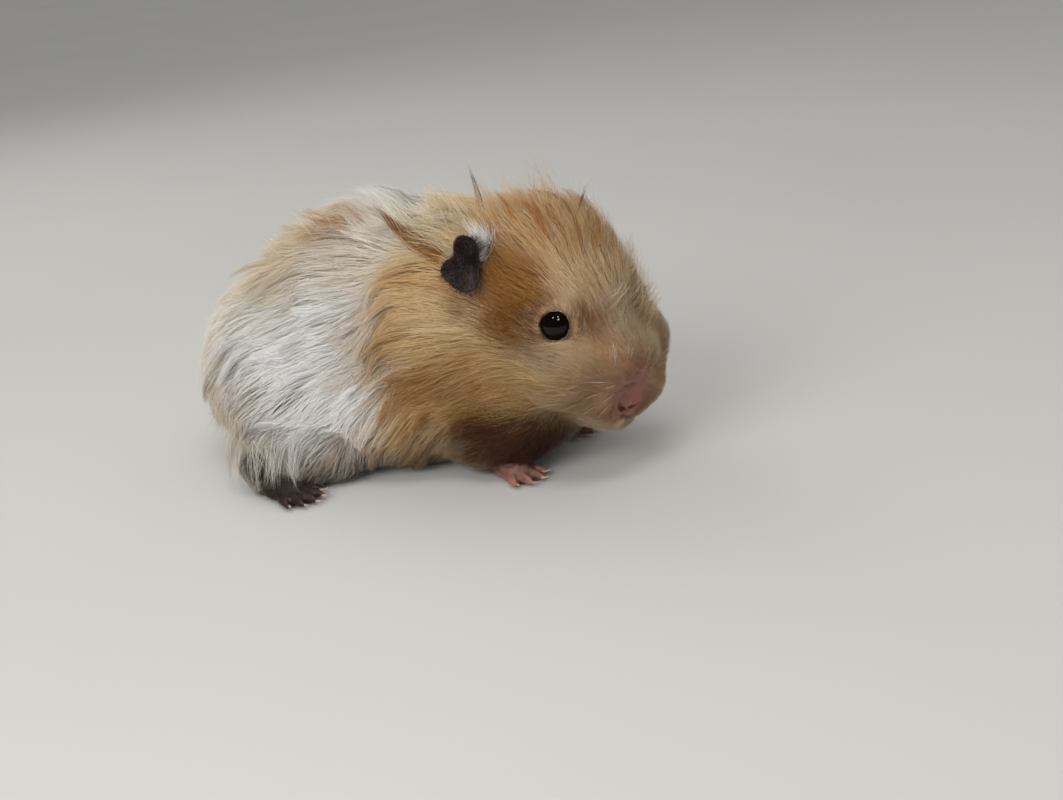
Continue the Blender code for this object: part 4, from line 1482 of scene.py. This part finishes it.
def mottled_material(name, noise, first, second, constants):
    """Two colours that a noise mixes."""
    material, n = new_material(name)
    n.surface({"Base Color": n.mix(n.noise(n.object_place(), *noise), first, second), **constants})
    return material


def hair_material(name, root_colour, tip_colour):
    """Hair of one kind that turns from one colour to another towards its tips."""
    material, n = new_material(name)
    color = n.mix(n.remap(n.attribute("coat_along"), 0.25, 0.95), root_colour, tip_colour)
    n.surface({
        "Base Color": n.shaded(color, n.remap(n.attribute("coat_tone"), 0.0, 1.0, 0.82, 1.12)),
        "Roughness": 0.6,
        "Specular IOR Level": 0.15,
    })
    return material


HAIRS = {                        # colour at the root and at the tip
    "orange_streak_hair": ((170, 116, 60), (130, 82, 40)),
    "dark_wisp_hair": ((120, 84, 56), (74, 50, 38)),
    "pale_wisp_hair": ((190, 160, 124), (224, 206, 178)),
    "white_tuft_hair": ((170, 164, 160), (246, 244, 242)),
    "ear_fuzz_hair": ((30, 18, 17), (104, 88, 88)),
    "whisker": ((226, 216, 200), (240, 234, 224)),
}
BARE_SKINS = {                   # colour, deeper colour, roughness, scale of the wrinkles
    "dark_ear_skin": ((40, 26, 24), (22, 13, 12), 0.6, 2600.0),
    # the hind feet's dark skin, partly painted shade under the body
    "dark_foot_skin": ((60, 44, 37), (36, 26, 22), 0.55, 2400.0),
    "pink_foot_skin": ((150, 104, 92), (108, 70, 60), 0.5, 2400.0),
}
EYE_GLOSS = {"Roughness": 0.02, "Specular IOR Level": 0.22}


def make_materials():
    markings_and_shade = markings_and_shade_group()
    materials = {"coat": coat_material(markings_and_shade), "skin_under_coat": skin_material(markings_and_shade)}
    for name, (root, tip) in HAIRS.items():
        materials[name] = hair_material(name, srgb(*root), srgb(*tip))
    for name, (colour, deep, roughness, wrinkle) in BARE_SKINS.items():
        materials[name] = bare_material(name, srgb(*colour), srgb(*deep), roughness, wrinkle)
    black, brown = srgb(6, 4, 4), srgb(16, 10, 8)
    materials["eye"] = mottled_material("wet_black_eye", (300.0, 2.0, 0.5), black, brown, EYE_GLOSS)
    pale, horn = srgb(206, 180, 160), srgb(150, 118, 100)
    materials["claw"] = mottled_material("pale_claw", (900.0, 3.0, 0.6), pale, horn, {"Roughness": 0.35})
    return materials


# ---------------------------------------------------------------- floor, lights and camera


AIM = (0.0, -0.01, 0.03)         # of every lamp
LAMPS = {                        # place, size, power, colour, and whether it shows only as a highlight
    "key": ((-0.54, 0.08, 0.32), (0.42, 0.42), 2.6, (1.0, 0.985, 0.96), False),
    "ceiling": ((-0.20, -0.12, 0.62), (0.30, 0.20), 0.85, (1.0, 0.99, 0.97), False),
    "back": ((0.25, 0.45, 0.45), (0.40, 0.40), 0.9, (1.0, 0.98, 0.96), False),
    "panel": ((-0.20, -0.12, 0.62), (0.45, 0.14), 4.5, (1.0, 1.0, 1.0), True),
    "window": ((-0.26, -0.34, 0.48), (0.14, 0.10), 0.9, (1.0, 1.0, 1.0), True),
}
ROOM_COLOUR = (1.0, 0.99, 0.97, 1.0)
ROOM_LIGHT = 0.53
CAMERA_AZIMUTH = -65.3           # degrees, as are the next two
CAMERA_ELEVATION = 19.3
CAMERA_ROLL = -7.0
CAMERA_DISTANCE = 0.300
CAMERA_TARGET = (0.00908, -0.020, 0.00834)
CAMERA_LENS = 49.5               # millimetres, for a sensor 36 mm wide


def make_stage():
    deselect()
    bpy.ops.mesh.primitive_plane_add(size=16.0)
    floor = bpy.context.object
    floor.name = "floor"
    pale, grey = srgb(198, 198, 195), srgb(190, 190, 187)
    material = mottled_material("pale_floor", (6.0, 3.0, 0.5), pale, grey, {"Roughness": 0.8})
    floor.data.materials.append(material)


def make_lights():
    world = bpy.data.worlds.new("soft_room")
    world.use_nodes = True
    world.node_tree.nodes["Background"].inputs["Color"].default_value = ROOM_COLOUR
    world.node_tree.nodes["Background"].inputs["Strength"].default_value = ROOM_LIGHT
    world.cycles_visibility.glossy = False
    bpy.context.scene.world = world
    for name, (place, size, power, colour, mirrored) in LAMPS.items():
        data = bpy.data.lights.new(name, "AREA")
        data.shape = "ELLIPSE"
        data.size, data.size_y = size
        data.energy = power
        data.color = colour
        light = new_object(name, data)
        light.visible_glossy = mirrored
        light.visible_diffuse = not mirrored
        light.location = place
        light.rotation_euler = (Vector(AIM) - Vector(place)).to_track_quat("-Z", "Y").to_euler()


def make_camera():
    azimuth, elevation, roll = map(math.radians, (CAMERA_AZIMUTH, CAMERA_ELEVATION, CAMERA_ROLL))
    level = math.cos(elevation)
    back = Vector((math.sin(azimuth) * level, -math.cos(azimuth) * level, math.sin(elevation)))
    right = (-back).cross(Vector((0, 0, 1))).normalized()
    up = right.cross(-back)
    rolled_right = right * math.cos(roll) + up * math.sin(roll)
    rolled_up = up * math.cos(roll) - right * math.sin(roll)
    data = bpy.data.cameras.new("camera")
    data.lens = CAMERA_LENS
    data.sensor_width = 36.0
    data.clip_start = 0.005
    data.clip_end = 50.0
    camera = new_object("camera", data)
    turn = Matrix((rolled_right, rolled_up, back)).transposed().to_4x4()
    camera.matrix_world = Matrix.Translation(Vector(CAMERA_TARGET) + back * CAMERA_DISTANCE) @ turn
    bpy.context.scene.camera = camera


def main():
    materials = make_materials()
    make_stage()
    make_lights()
    make_camera()
    bpy.context.scene.view_settings.view_transform = "Standard"
    outline, skin = whole_skin(materials)
    unwrap(skin)
    skin.data.shade_smooth()
    hide = Hide(skin, outline)
    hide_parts(*[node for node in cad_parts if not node.startswith("eye")])
    coat = make_coat(hide, materials["coat"])
    coat.append(make_pointed_locks(hide, materials["coat"]))
    bpy.data.objects.remove(outline)
    for name, locks, material, seed in LOCK_PIECES:
        coat.append(make_locks(name, locks, hide, materials[material], SEED + seed))
    coat.append(make_lashes(hide, materials["coat"]))
    coat.append(make_ear_fuzz(hide, materials["ear_fuzz_hair"]))
    coat.append(make_whiskers(hide, materials["whisker"]))
    eyes = [make_eye(side_name, materials["eye"]) for side_name in SIDES]
    claws = make_claws(materials["claw"])
    for piece in [skin] + coat + eyes + [claws]:
        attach(piece, "root")


main()
